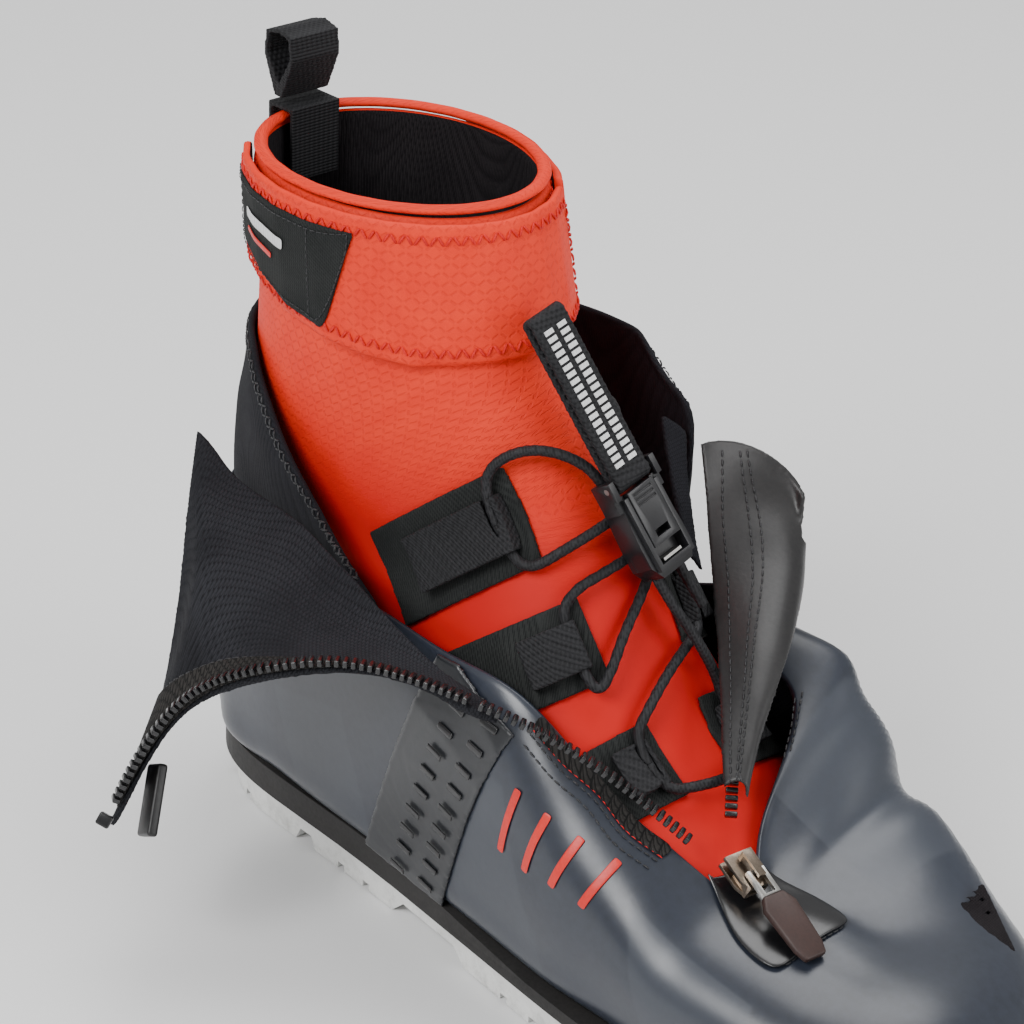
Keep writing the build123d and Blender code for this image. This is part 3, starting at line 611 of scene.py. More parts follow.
def rounded(name, node, material, body, width=0.0003, segments=2):
    """Moulded version of a CAD solid: flats kept, corners rounded."""
    piece = clean_copy(name, node)
    bm = bmesh.new()
    bm.from_mesh(piece.data)
    bmesh.ops.dissolve_limit(bm, angle_limit=math.radians(1.0), verts=bm.verts, edges=bm.edges)
    bm.to_mesh(piece.data)
    bm.free()
    piece.data.polygons.foreach_set("use_smooth", [True] * len(piece.data.polygons))
    bevel = piece.modifiers.new("round", "BEVEL")
    bevel.width, bevel.segments, bevel.limit_method = width, segments, "ANGLE"
    bevel.angle_limit = math.radians(32)
    bevel.harden_normals = True
    piece.data.materials.append(material)
    return place_piece(piece, body, (node,))


def dress(node, material):
    """A CAD node whose shape is right gets a finish only."""
    shown = frame["nodes"][node]
    if not shown.material_slots:
        shown.data.materials.append(material)
    for slot in shown.material_slots:
        slot.material = material


# %% [markdown]
# ## Sewing thread
#
# Stitches catch the light one by one, so they are small rods with rounded ends and not a painted line.
# A seam is a list of places on the cloth with the way the cloth faces. Straight seams put the rods end
# to end, and an overlock seam swings them from side to side.

# %% Stitches
def smooth_line(points, steps=10):
    """Points along a smooth curve through the guides."""
    ends = [points[0] * 2 - points[1]] + list(points) + [points[-1] * 2 - points[-2]]
    line = []
    for a, b, c, d in zip(ends, ends[1:], ends[2:], ends[3:]):
        for k in range(steps):
            t = k / steps
            bend, swing = 2 * a - 5 * b + 4 * c - d, 3 * b - a - 3 * c + d
            line.append(0.5 * (2 * b + (c - a) * t + bend * t ** 2 + swing * t ** 3))
    return line + [points[-1]]


def laid(tree, points, lift=0.0003, steps=10):
    """A smooth line through guides, laid on a surface: places and facings."""
    places, facings = [], []
    for p in smooth_line(points, steps):
        spot, facing, _, _ = tree.find_nearest(p)
        places.append(spot + facing * lift)
        facings.append(facing)
    return places, facings


def evenly(places, facings, step):
    """The same line with even steps."""
    lengths = [0.0]
    for a, b in zip(places, places[1:]):
        lengths.append(lengths[-1] + (b - a).length)
    count = max(2, int(lengths[-1] / step))
    out, k = [], 0
    for n in range(count + 1):
        want = lengths[-1] * n / count
        while k < len(places) - 2 and lengths[k + 1] < want:
            k += 1
        share = (want - lengths[k]) / max(1e-9, lengths[k + 1] - lengths[k])
        facing = facings[k].lerp(facings[k + 1], share).normalized()
        out.append((places[k].lerp(places[k + 1], share), facing))
    return out


def stitches(name, line, material, body, length=0.0026, radius=0.00028, sway=0.0, gap=0.22, flat=0.8):
    """Row of stitches in one mesh; sway makes a zigzag."""
    steps = evenly(*line, length)
    corners, faces = [], []
    for n, ((a, up_a), (b, _)) in enumerate(zip(steps, steps[1:])):
        side = (b - a).normalized().cross(up_a)
        swing = sway if n % 2 else -sway
        start, end = a - side * swing, b + side * swing
        way = end - start
        start, end = start + way * gap / 2, end - way * gap / 2
        wide = way.normalized().cross(up_a).normalized()
        first = len(corners)
        for share, size in ((0.0, 0.35), (0.12, 0.9), (0.5, 1.0), (0.88, 0.9), (1.0, 0.35)):
            middle = start.lerp(end, share) - up_a * radius * (0.9 * (2 * share - 1) ** 2)
            for k in range(6):
                angle = math.pi * k / 3
                rod = wide * math.cos(angle) + up_a * math.sin(angle) * flat
                corners.append(middle + rod * radius * size)
        for ring in range(4):
            for k in range(6):
                m = (k + 1) % 6
                low, high = first + ring * 6, first + ring * 6 + 6
                faces.append((low + k, low + m, high + m, high + k))
        faces.append(tuple(first + k for k in range(5, -1, -1)))
        faces.append(tuple(first + 24 + k for k in range(6)))
    mesh = bpy.data.meshes.new(name)
    mesh.from_pydata(corners, [], faces)
    mesh.polygons.foreach_set("use_smooth", [True] * len(mesh.polygons))
    mesh.materials.append(material)
    piece = bpy.data.objects.new(name, mesh)
    return place_piece(piece, body)


# %% [markdown]
# ## Sole
#
# The outsole and midsole are moulded, so their solids are kept and only their corners are rounded. The
# steel bar under the toe is a real round bar and only needs its finish. Smoothing draws the shell in a
# little, so the two stiffeners under it are drawn in further and stay hidden.

# %% Sole pieces
rounded("outsole_moulding", "outsole", finishes["white"], "boot", 0.0008, 3)
rounded("midsole_moulding", "midsole", finishes["midsole"], "boot", 0.0010, 3)
dress("toe_bar", finishes["steel"])
dress("lasting_board", finishes["inside"])
DRAWN_IN = 0.0035
INSTEP_Z = 0.045
for node in ("heel_counter", "toe_puff"):
    stiffener = soften(f"{node}_cloth", node, finishes["inside"], "boot", 0.0008, 12)
    middle = sum((v.co for v in stiffener.data.vertices), Vector()) / len(stiffener.data.vertices)
    for v in stiffener.data.vertices:
        inward = Vector((middle.x - v.co.x, -v.co.y, INSTEP_Z - v.co.z)).normalized()
        v.co += inward * DRAWN_IN
dress("footbed", finishes["inside"])
print("sole ready")

# %% [markdown]
# ## Liner
#
# The liner is one foam sock with a foot, a tongue and a cuff. It could be remeshed, but the pressed dashes
# need a map that runs round and up the leg. So it is sampled in rings: upright sections along the foot,
# sections that turn about the ankle, and level sections up the leg.

# %% Liner skin
ankle = Vector((0.140, 0.0, 0.175))
liner_tree = tree_of("liner_foot", "liner_cuff")
foot_front, cuff_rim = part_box("liner_foot")[1].x - 0.0006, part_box("liner_cuff")[1].z - 0.0004
RING = 72
rows = []
for k in range(15):
    x = foot_front + (ankle.x - foot_front) * k / 15
    rows.append(ring_row(liner_tree, Vector((x, 0, ankle.z)), Vector((0, 0, -1)), RING))
for k in range(30):
    angle = math.radians(90 * k / 30)
    rows.append(ring_row(liner_tree, ankle, Vector((-math.sin(angle), 0, -math.cos(angle))), RING))
for k in range(11):
    z = ankle.z + (cuff_rim - ankle.z) * k / 10
    rows.append(ring_row(liner_tree, Vector((ankle.x, 0, z)), Vector((-1, 0, 0)), RING))
tip = sum(rows[0][:-1], Vector()) / RING
cap = [[tip.lerp(p, share) for p in rows[0]] for share in (0.001, 0.4, 0.75)]
liner = skin("liner_sock", [cap + rows], finishes["cuff"], "boot", ("liner_foot", "liner_cuff"),
             thick=0.0029, lining=finishes["inside"], rounds=10, anchor=(-1, 0))
liner_skin_tree = tree_of_piece(liner)

# %% [markdown]
# ## Walls round a post
#
# The cuff, strap, label and collar all stand round the leg like walls round a post. Each is sampled by
# turning about the leg: at every angle the top and bottom of the wall are found, and rows are spread
# between them. The ends of the wall are found in the same way.

# %% Wall sampler
def wall(tree, post, first_deg, last_deg, columns, rows, z_low, z_high, reach=0.16):
    """Grid of points on the outside of a wall that stands round a post, cut where the wall is cut."""
    def probe_at(angle):
        out = Vector((math.cos(math.radians(angle)), math.sin(math.radians(angle)), 0))
        return lambda z: cast(tree, Vector((post.x, post.y, z)) + out * reach, Vector((post.x, post.y, z)))

    def any_hit(angle):
        probe = probe_at(angle)
        heights = [z_low + (z_high - z_low) * k / 40 for k in range(41)]
        return next((z for z in heights if probe(z) is not None), None)

    start, end = span(any_hit, first_deg, last_deg, 90)
    inset = (end - start) * 0.0015
    grid = []
    for k in range(columns + 1):
        angle = start + inset + (end - start - 2 * inset) * k / columns
        probe = probe_at(angle)
        low, high = span(probe, z_low, z_high, 80)
        trim = (high - low) * 0.002
        grid.append(filled([probe(low + trim + (high - low - 2 * trim) * r / rows) for r in range(rows + 1)]))
    return [list(row) for row in zip(*grid)]


def wall_of(node, post, first_deg, last_deg, columns, rows):
    """Grid on a wall that is one CAD node, over its whole height."""
    low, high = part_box(node)
    return wall(tree_of(node), post, first_deg, last_deg, columns, rows, low.z - 0.002, high.z + 0.002)


def filled(row):
    """A row whose few missed points are set between their neighbours."""
    known = [k for k, p in enumerate(row) if p is not None]
    for k, p in enumerate(row):
        if p is None:
            before = max((n for n in known if n < k), default=known[0])
            after = min((n for n in known if n > k), default=known[-1])
            share = (k - before) / max(1, after - before)
            row[k] = row[before].lerp(row[after], share)
    return row


def border(grid, share):
    """Line that runs inside a grid's border, a share of its height in, all the way round."""
    rows, columns = len(grid) - 1, len(grid[0]) - 1
    step = max(1, round(rows * share))
    low = [grid[step][j] for j in range(step, columns - step + 1)]
    high = [grid[rows - step][j] for j in range(step, columns - step + 1)]
    first = [grid[i][step] for i in range(step, rows - step + 1)]
    last = [grid[i][columns - step] for i in range(step, rows - step + 1)]
    return low, high, first, last


# %% [markdown]
# ## Cuff, wrap strap and label
#
# The strap is the same foam as the cuff. It is sewn on the inner side, crosses the front and ends on the
# outer side in a black label. A zigzag seam runs round its edge, because a zigzag stretches with foam.

# %% Strap skins
leg_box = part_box("liner_cuff")
post = Vector(((leg_box[0].x + leg_box[1].x) / 2 - 0.003, 0.0, 0.0))
strap_grid = wall_of("wrap_strap", post, 190, 400, 110, 18)
strap = skin("wrap_strap_foam", [strap_grid], finishes["cuff"], "wrap_strap", ("wrap_strap",),
             thick=0.0024, lining=finishes["inside"], rounds=10, anchor=(-1, 60))
anchor_grid = wall_of("strap_anchor", post, 20, 260, 60, 14)
skin("strap_sewn_end", [anchor_grid], finishes["cuff"], "boot", ("strap_anchor",), thick=0.0030,
     lining=finishes["inside"], rounds=8, anchor=(-1, 0))
label_grid = wall_of("strap_label", post, 190, 330, 50, 14)
label = skin("woven_label", [label_grid], finishes["panel"], "wrap_strap", ("strap_label",),
             thick=0.0008, rounds=6)
dress("strap_hook_pad", finishes["inside"])

# %% Strap seams
strap_tree = tree_of_piece(strap)
for k, edge in enumerate(border(strap_grid, 0.10)):
    line = laid(strap_tree, edge[::4] + [edge[-1]], 0.0004, 4)
    stitches(f"strap_zigzag_{k}", line, finishes["red_thread"], "wrap_strap", 0.0021, 0.00042,
             sway=0.0016)
label_tree = tree_of_piece(label)
for k, edge in enumerate(border(label_grid, 0.08)):
    line = laid(label_tree, edge[::4] + [edge[-1]], 0.0003, 4)
    stitches(f"label_stitches_{k}", line, finishes["black_thread"], "wrap_strap", 0.0022, 0.00020)


def strip_on(name, tree, a, b, width, lift, material, body, tall=0.0003):
    """Narrow raised strip laid on a surface from a to b."""
    places, facings = laid(tree, [a.lerp(b, k / 4) for k in range(5)], lift, 4)
    left, right_side = [], []
    for k, (p, n) in enumerate(zip(places, facings)):
        way = (places[min(k + 1, len(places) - 1)] - places[max(k - 1, 0)]).normalized()
        side = way.cross(n).normalized() * width / 2
        left.append(p + n * tall - side)
        right_side.append(p + n * tall + side)
    middle = [(x + y) / 2 for x, y in zip(left, right_side)]
    return skin(name, [[left, middle, right_side]], material, body, thick=tall, rounds=0)


# %% Plain marks on the label
label_rows, label_columns = len(label_grid) - 1, len(label_grid[0]) - 1


def on_label(across, high):
    return label_grid[round(high * label_rows)][round(across * label_columns)]


strip_on("label_bar_upper", label_tree, on_label(0.26, 0.62), on_label(0.60, 0.62), 0.0034, 0.0003,
         finishes["white_mark"], "wrap_strap")
strip_on("label_bar_lower", label_tree, on_label(0.26, 0.42), on_label(0.50, 0.42), 0.0018, 0.0003,
         finishes["red_mark"], "wrap_strap")
stitches("label_divider", laid(label_tree, [on_label(0.76, h) for h in (0.1, 0.3, 0.5, 0.7, 0.9)], 0.0001),
         finishes["black_thread"], "wrap_strap", 0.0022, 0.00022)

# %% Rim of the cuff
rim_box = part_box("cuff_binding")
rim_middle = (rim_box[0] + rim_box[1]) / 2
rim_tree = tree_of("cuff_binding")
profile = []
for k in range(97):
    angle = 2 * math.pi * k / 96
    out = Vector((math.cos(angle), math.sin(angle), 0))
    base = Vector((rim_middle.x, rim_middle.y, rim_middle.z))
    outer = cast(rim_tree, base + out * 0.1, base)
    inner = cast(rim_tree, base, base + out * 0.1)
    middle, half = (outer + inner) / 2, (outer - inner).length / 2
    tall = (rim_box[1].z - rim_box[0].z)
    turns = [math.radians(d) for d in (-70, -40, -10, 25, 60, 90, 120, 155, 190, 220, 250)]
    rise = [Vector((0, 0, tall * (0.45 * math.sin(t) - 0.05))) for t in turns]
    profile.append([middle + out * half * math.cos(t) + r for t, r in zip(turns, rise)])
skin("cuff_rolled_rim", [profile], finishes["cuff"], "boot", ("cuff_binding",), thick=0.0006,
     rounds=4)
rim_line = []
for k in range(49):
    angle = 2 * math.pi * k / 48
    out = Vector((math.cos(angle), math.sin(angle), 0))
    base = Vector((rim_middle.x, rim_middle.y, rim_box[0].z - 0.004))
    rim_line.append(cast(liner_tree, base + out * 0.1, base))
stitches("cuff_zigzag", laid(liner_skin_tree, rim_line, 0.0004, 4), finishes["red_thread"], "boot",
         0.0021, 0.00042, sway=0.0016)

# %% [markdown]
# ## Webbing
#
# Pull loop, lace loops and handle are flat woven webbing. Their solids already fold and bend as they do on
# the boot, so they are softened and given a ribbed weave.

# %% Webbing pieces
soften("heel_pull_loop", "pull_loop", finishes["webbing"], "pull_loop", 0.0005, 5)
soften("heel_loop_foot", "pull_loop_base", finishes["webbing"], "boot", 0.0005, 4)
for side in ("outer", "inner"):
    for number in (1, 2, 3):
        ending = f"{side}_{number}"
        soften(f"finger_panel_{ending}", f"lace_panel_{ending}", finishes["panel"], "boot",
               0.0006, 8)
        soften(f"finger_loop_{ending}", f"lace_loop_{ending}", finishes["webbing"], "boot",
               0.0005, 8)
handle = soften("lock_handle_webbing", "lace_handle", finishes["webbing"], "lace_handle",
                0.0005, 4)


def joint(name):
    return next(j for j in frame["joints"] if j["name"] == name)


# %% Reflective dashes on the handle
lock_along = Vector(joint("lace_lock_slide")["axis"])
lock_across = Vector(joint("lace_handle_swing")["axis"])
lock_out = lock_along.cross(lock_across)
pin = Vector(joint("lace_handle_swing")["pos_m"])
handle_tree = tree_of_piece(handle)
HANDLE = 0.048
dashes = 20
for row in (-1, 1):
    corners, faces = [], []
    for n in range(dashes):
        near = 0.004 + (HANDLE - 0.006) * n / dashes
        far = near + (HANDLE - 0.006) / dashes * 0.62
        wide = 0.0016
        for along, across in ((near, -wide), (near, wide), (far, wide), (far, -wide)):
            spot = pin - lock_along * along + lock_across * (row * 0.0026 + across)
            hit = handle_tree.ray_cast(spot + lock_out * 0.02, -lock_out, 0.05)[0]
            corners.append((hit or spot + lock_out * 0.0021) + lock_out * 0.00012)
        first = 4 * n
        faces.append((first, first + 1, first + 2, first + 3))
    mesh = bpy.data.meshes.new(f"reflective_dashes_{row + 1}")
    mesh.from_pydata(corners, [], faces)
    mesh.materials.append(finishes["white_mark"])
    dash_row = bpy.data.objects.new(f"reflective_dashes_{row + 1}", mesh)
    solid = dash_row.modifiers.new("thickness", "SOLIDIFY")
    solid.thickness, solid.offset = 0.0003, 0.0
    place_piece(dash_row, "lace_handle")

# %% [markdown]
# ## Laces
#
# The lace is one braided cord that zigzags through the loops and the lock. Its route is a smooth NURBS
# curve through listed points. A plain tube would look like wire, so rings are swept along the curve
# and two sets of ridges that wind in opposite ways make the braid.

# %% Lace routes in millimetres
laces = {
    "lace_1": [(107, 1.5, 132.2), (107.4, -6.5, 130.6), (104.6, -14.8, 126.6), (100.6, -22.6, 121.6),
               (94.1, -24, 122.7), (88, -24, 130)],
    "lace_2": [(88, -24, 130), (82.9, -24, 136.2), (81.4, -22.3, 144.5), (88, -15.5, 150.5),
               (97.3, -8.5, 150.2), (104.7, -2.3, 144.3), (123.3, 5.3, 114.4), (130.5, 11, 102.5),
               (134.4, 15.6, 91.5), (136.6, 17, 83.8), (143, 17, 79)],
    "lace_3": [(143, 17, 79), (149.4, 17, 74.2), (154, 10.5, 75), (156, 0, 74.6), (154, -10.5, 75),
               (149.4, -17, 74.2), (143, -17, 79)],
    "lace_4": [(143, -17, 79), (136.6, -17, 83.8), (134.8, -10, 90), (130.8, 1, 95.4), (127, 12, 98.5),
               (122.3, 22, 98.4), (117, 22, 105)],
    "lace_5": [(117, 22, 105), (111.7, 22, 111.6), (109.6, 18.5, 117.2), (112.8, 11, 117.8), (118, 2, 113),
               (122, -8, 106.5), (126, -16, 99.4), (127, -21, 95.2), (122.3, -22, 98.4), (117, -22, 105)],
    "lace_6": [(117, -22, 105), (111.4, -22, 112.0), (111.2, -17, 118.0), (113, -7.5, 121), (112.8, 3, 122.6),
               (108.6, 12.5, 123), (102.6, 21.2, 121.3), (94.1, 24, 122.7), (88, 24, 130)],
    "lace_7": [(88, 24, 130), (82.9, 24, 136.2), (79.6, 22.8, 145), (83, 18.5, 153.5), (91, 13.5, 157),
               (98.2, 9.8, 154.2), (103.6, 6.7, 145.9), (122.2, 14.3, 116), (126.4, 17.4, 108.4)],
}
CORD = 0.0015


def route(name, points):
    """Evenly read points of a smooth NURBS curve with these control points."""
    curve = bpy.data.curves.new(name, "CURVE")
    curve.dimensions, curve.resolution_u = "3D", 24
    spline = curve.splines.new("NURBS")
    spline.points.add(len(points) - 1)
    for spot, p in zip(spline.points, points):
        spot.co = (*(c * MM for c in p), 1)
    spline.order_u = 3
    spline.use_endpoint_u = True
    holder = bpy.data.objects.new(name, curve)
    bpy.context.scene.collection.objects.link(holder)
    mesh = final_mesh(holder)
    line = [v.co.copy() for v in mesh.vertices]
    bpy.data.objects.remove(holder)
    return line


def braid(name, line, radius, material, body, stands_for, step=0.0003, sides=16, turns_per_m=230):
    """Braided cord along a line: a swept tube with two families of winding ridges."""
    line = [p for p, _ in evenly(line, [Vector((0, 0, 1))] * len(line), step)]
    side = None
    corners, faces = [], []
    for n, p in enumerate(line):
        way = (line[min(n + 1, len(line) - 1)] - line[max(n - 1, 0)]).normalized()
        side = way.orthogonal().normalized() if side is None else (side - way * side.dot(way)).normalized()
        other = way.cross(side)
        s = n * step * turns_per_m * 2 * math.pi
        for k in range(sides):
            angle = 2 * math.pi * k / sides
            ridge = max(math.sin(4 * angle + s), math.sin(4 * angle - s))
            size = radius * (0.93 + 0.07 * ridge)
            corners.append(p + (side * math.cos(angle) + other * math.sin(angle)) * size)
    for n in range(len(line) - 1):
        for k in range(sides):
            a, b = n * sides + k, n * sides + (k + 1) % sides
            faces.append((a, b, b + sides, a + sides))
    faces.append(tuple(range(sides - 1, -1, -1)))
    faces.append(tuple(len(corners) - sides + k for k in range(sides)))
    mesh = bpy.data.meshes.new(name)
    mesh.from_pydata(corners, [], faces)
    mesh.polygons.foreach_set("use_smooth", [True] * len(mesh.polygons))
    mesh.materials.append(material)
    return place_piece(bpy.data.objects.new(name, mesh), body, stands_for)


for name, points in laces.items():
    braid(f"{name}_braid", route(name, points), CORD, finishes["lace"], "boot", (name,))
print("laced", len(laces), "stretches")

# %% [markdown]
# ## Lace lock
#
# The lock is moulded nylon with a sliding button. The solids hold the real tunnels and the button's
# travel, so they are kept with rounded corners.

# %% Lock pieces
rounded("lock_housing", "lock_body", finishes["lock"], "lace_lock", 0.0005, 3)
rounded("lock_slide_button", "lock_button", finishes["lock"], "lock_button", 0.0004, 3)
dress("lock_pin", finishes["steel"])
dress("lock_spring", finishes["steel"])

# %% [markdown]
# ## Shell
#
# The shell is coated cloth pulled over the foot. It is open from the toe joint up, so it is sampled as two
# strips, one for each side of the foot. Rays fan up from the sole line: over the toes they meet at the zip
# line, and further back they stop at the cut edge. The two strips share their ends and are welded there.

# %% Shell strips
shell_tree = tree_of("shell")
shell_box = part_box("shell")
slider_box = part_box("zip_slider")
zip_y = (slider_box[0].y + slider_box[1].y) / 2 + 0.0012
heel_spine, toe_spine, spine_z = 0.004, shell_box[1].x - 0.052, 0.040


def spine_y(x):
    """The spine drifts from the middle of the heel to the zip line."""
    share = min(1.0, max(0.0, x / (slider_box[0].x - 0.01)))
    return zip_y * share * share * (3 - 2 * share)


def shell_strip(side, columns=26):
    """Rows from the middle of the heel round one side to the middle of the toe."""
    stands = []
    for k in range(14):
        angle = math.radians(90 * k / 14)
        stands.append((heel_spine, Vector((-math.cos(angle), side * math.sin(angle), 0))))
    for k in range(58):
        stands.append((heel_spine + (toe_spine - heel_spine) * k / 58, Vector((0, side, 0))))
    for k in range(19):
        angle = math.radians(90 * k / 18)
        stands.append((toe_spine, Vector((math.sin(angle), side * math.cos(angle), 0))))
    grid = []
    for x, out in stands:
        centre = Vector((x, spine_y(x), spine_z))

        def probe(deg):
            ray = out * math.cos(math.radians(deg)) + Vector((0, 0, math.sin(math.radians(deg))))
            return cast(shell_tree, centre + ray * 0.2, centre)

        low = last_hit(probe, 5.0, -60.0)
        high, step = 5.0, 1.5
        while high < 90.0 and probe(min(90.0, high + step)) is not None:
            high = min(90.0, high + step)
        if high < 90.0:
            high = last_hit(probe, high, high + step)
        trim = (high - low) * 0.001 if high < 90.0 else 0.0
        row = [probe(low + 0.05 + (high - trim - low - 0.05) * j / columns) for j in range(columns + 1)]
        grid.append(filled(row))
    return grid


outer_strip, inner_strip = shell_strip(-1), shell_strip(1)
shell = skin("coated_shell", [outer_strip, inner_strip], finishes["shell"], "boot", ("shell",),
             thick=0.0014, lining=finishes["lining"], rounds=70)
shell_skin_tree = tree_of_piece(shell)

# %% Seams beside the zip
def beside_edge(strip, first, last, inset):
    """Line on a strip a fixed distance inside its cut edge."""
    line = []
    for row in strip[first:last]:
        edge, inner = row[-1], row[-4]
        line.append(edge + (inner - edge).normalized() * inset)
    return line


front_row = next(k for k, row in enumerate(outer_strip) if row[-1].x > slider_box[0].x - 0.006)
ankle_row = next(k for k, row in enumerate(outer_strip) if k > 14 and row[-1].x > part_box("lateral_flap")[1].x)
for k, inset in enumerate((0.0065, 0.0095)):
    outer_seam = beside_edge(outer_strip, ankle_row, front_row, inset)[::3]
    stitches(f"shell_outer_seam_{k}", laid(shell_skin_tree, outer_seam, 0.0004, 6),
             finishes["black_thread"], "boot", 0.0024, 0.00026)
    inner_seam = beside_edge(inner_strip, ankle_row + 8, front_row, inset)[::3]
    stitches(f"shell_inner_seam_{k}", laid(shell_skin_tree, inner_seam, 0.0004, 6),
             finishes["black_thread"], "boot", 0.0024, 0.00026)

# %% Tape band along the shell's outer edge
band_lines = []
for inset in (0.0006, 0.0022, 0.0038, 0.0052):
    places, _ = laid(shell_skin_tree, beside_edge(outer_strip, ankle_row, front_row, inset)[::3], 0.0005, 5)
    band_lines.append(places)
skin("shell_edge_tape", [band_lines], finishes["tape"], "boot", thick=0.0004, rounds=2)
thread_line = beside_edge(outer_strip, ankle_row, front_row, 0.0050)[::3]
stitches("edge_thread", laid(shell_skin_tree, thread_line, 0.0007, 5), finishes["red_thread"], "boot",
         0.0020, 0.00018, gap=0.08)
print("tape band sewn")

# %% Zip end patch
patch_from = Vector((slider_box[0].x - 0.004, zip_y, 0.1))
patch_rows = []
for k in range(9):
    x = patch_from.x + 0.0335 * k / 8
    half = 0.0060 + 0.0085 * min(1.0, k / 5)
    row = []
    for j in range(9):
        top = Vector((x, zip_y + 0.001 * k / 8 + half * (j / 4 - 1), 0.2))
        hit = cast(shell_skin_tree, top, top - Vector((0, 0, 0.19)))
        if hit is None:
            hit = shell_skin_tree.find_nearest(Vector((top.x, top.y, slider_box[0].z)))[0]
        row.append(hit + Vector((0, 0, 0.0009)))
    patch_rows.append(row)
patch = skin("zip_end_patch", [patch_rows], finishes["patch"], "boot", thick=0.0006, rounds=3)
patch_tree = tree_of_piece(patch)
edge_in = [row[1] for row in patch_rows] + [patch_rows[-1][4]] + [row[7] for row in reversed(patch_rows)]
stitches("patch_seam", laid(patch_tree, edge_in, 0.0003, 4), finishes["black_thread"], "boot",
         0.0022, 0.00024)

# %% Plain red marks and the instep band
for k in range(4):
    row_at = min(len(outer_strip) - 1, front_row - 14 + 3 * k)
    low, high = outer_strip[row_at][15], outer_strip[row_at + 1][21]
    strip_on(f"shell_mark_{k}", shell_skin_tree, low, high, 0.0026, 0.0003, finishes["red_mark"], "boot",
             0.0002)
band = soften("instep_strap", "instep_band", finishes["band"], "boot", 0.0007, 20)
band_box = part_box("instep_band")
band_tree = tree_of_piece(band)
for column in range(2):
    for k in range(9):
        share = (k + 0.7) / 10
        x = band_box[0].x + 0.012 + 0.030 * share + 0.012 * column
        z = band_box[0].z + (band_box[1].z - band_box[0].z) * share
        start = Vector((x, -0.1, z))
        a = cast(band_tree, start, start + Vector((0, 0.09, 0)))
        b = cast(band_tree, start + Vector((0.006, 0, -0.0012)), start + Vector((0.006, 0.09, -0.0012)))
        if a is not None and b is not None:
            strip_on(f"instep_rib_{column}_{k}", band_tree, a, b, 0.0022, 0.0002, finishes["patch"], "boot",
                     0.0005)

# %% [markdown]
# ## Collar and flaps
#
# The collar is stretch knit and stands round the ankle like a wall. The outer flap is turned out, the storm
# flap stands up beside the lace, and a small gaiter sheet lies behind it. They are open sheets with folds
# that no formula gives, so their solids are softened and then moved by a smooth noise.

# %% Collar
collar_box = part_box("collar")
collar_post = Vector(((collar_box[0].x + collar_box[1].x) / 2 + 0.004, 0.004, 0))
collar_grid = wall_of("collar", collar_post, 25, 325, 110, 22)
collar = skin("stretch_collar", [collar_grid], finishes["knit"], "boot", ("collar",), thick=0.0020,
              lining=finishes["knit"], rounds=10, folds=(0.0012, 0.030, 3.0))
collar_tree = tree_of_piece(collar)
for k, row in enumerate((-2, -3)):
    hem = collar_grid[row][3:-3:4]
    stitches(f"collar_hem_{k}", laid(collar_tree, hem, 0.0004, 4), finishes["black_thread"], "boot",
             0.0020, 0.00030, sway=0.0009)

# %% Flaps and gaiter
flap = soften("outer_flap_cloth", "lateral_flap", finishes["lining"], "lateral_flap", 0.0007, 10,
              (0.0010, 0.022, 5.0))
storm = soften("storm_flap_cloth", "storm_flap", finishes["storm"], "storm_flap", 0.0006, 8,
               (0.0006, 0.016, 9.0))
soften("gaiter_cloth", "inner_gaiter", finishes["knit"], "boot", 0.0006, 6, (0.0006, 0.012, 2.0))
soften("outer_zip_tape", "zip_tape_outer", finishes["tape"], "lateral_flap", 0.0004, 4)
soften("inner_zip_tape", "zip_tape_inner", finishes["tape"], "boot", 0.0004, 4)
for row, node in (("sewn", "zip_teeth_outer"), ("flap", "zip_teeth_flap"), ("inner", "zip_teeth_inner")):
    carrier = "lateral_flap" if row == "flap" else "boot"
    rounded(f"zip_teeth_{row}_row", node, finishes["teeth"], carrier, 0.00035, 2)
rounded("zip_end_block", "zip_end_stop", finishes["teeth"], "lateral_flap", 0.0006, 3)
rounded("flap_badge_plate", "flap_badge", finishes["silver"], "lateral_flap", 0.0003, 3)
rounded("flap_grip_tab", "flap_tab", finishes["storm"], "lateral_flap", 0.0009, 3)

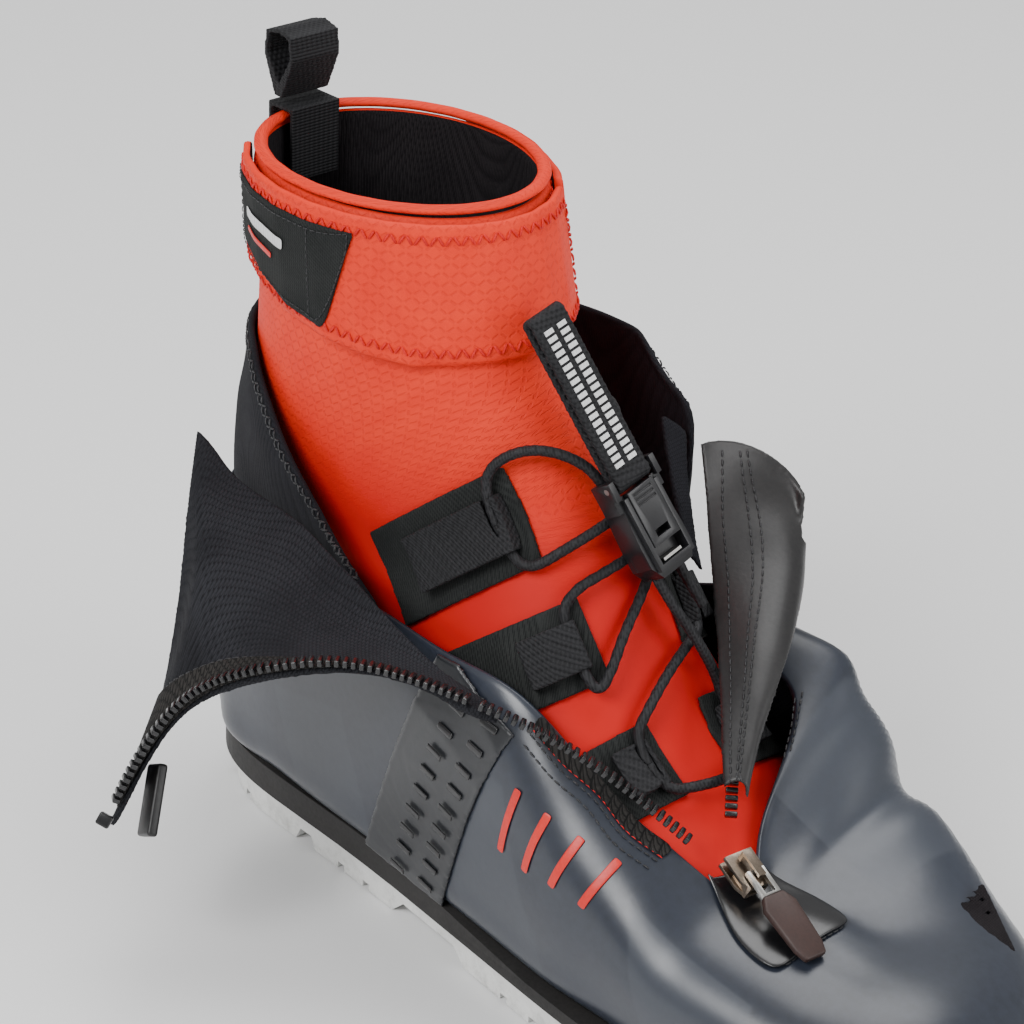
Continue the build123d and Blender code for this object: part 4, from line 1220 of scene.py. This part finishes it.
# %% Seams of the flaps
SHOWN = Vector((0.64, -0.61, 0.46))


def between_lines(first, second, share):
    """Guides between two lines of points in millimetres, standing just off the shown side."""
    return [(Vector(a).lerp(Vector(b), share)) * MM + SHOWN * 0.003 for a, b in zip(first, second)]


storm_edge = [(94, 51, 133), (103, 42, 118), (116, 32, 106), (130, 21, 96.5), (145, 8, 88.5), (161, -6, 76.5)]
storm_mid = [(104, 58, 134), (115, 55, 121), (126, 46, 112), (138, 30, 103), (151, 13, 92), (164, -4, 78.5)]
storm_tree = tree_of_piece(storm)
for k, share in enumerate((0.22, 0.62, 0.78)):
    line = laid(storm_tree, between_lines(storm_edge, storm_mid, share), 0.0003, 8)
    stitches(f"storm_seam_{k}", line, finishes["black_thread"], "storm_flap", 0.0026, 0.00030)
flap_mid = [(80, -61, 99.5), (64, -66, 100), (46, -72, 100), (31, -77, 99), (20, -74, 99)]
flap_rim = [(80, -72, 100), (66, -84, 96), (48, -95, 83), (40, -105, 66), (36, -112, 50)]
flap_tree = tree_of_piece(flap)
for k, share in enumerate((0.45, 0.58)):
    line = laid(flap_tree, between_lines(flap_mid, flap_rim, share), 0.0003, 8)
    stitches(f"flap_seam_{k}", line, finishes["black_thread"], "lateral_flap", 0.0026, 0.00028)
print("flap seams sewn")

# %% [markdown]
# ## Zip slider and pull
#
# The slider is cast metal, and its pull is a rubber grip moulded round a wire link. Both turn on real pins
# in the frame, so only their corners are rounded.

# %% Slider pieces
rounded("zip_slider_casting", "zip_slider", finishes["bronze"], "zip_slider", 0.0004, 3)
rounded("zip_wire_link", "zip_pull_link", finishes["steel"], "zip_pull", 0.0003, 2)
rounded("zip_grip", "zip_pull_tab", finishes["pull"], "zip_pull", 0.0007, 3)

# %% [markdown]
# ## Sizes
#
# The boxes of the frame and of the dressed boot are gathered, and the dressed boot's box is printed.

# %% Gather the sizes and finish
low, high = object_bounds()
{"cad": [list(cad_low), list(cad_high)], "visual": [list(low), list(high)]}
print("visual box", [round(c, 4) for c in (*low, *high)])
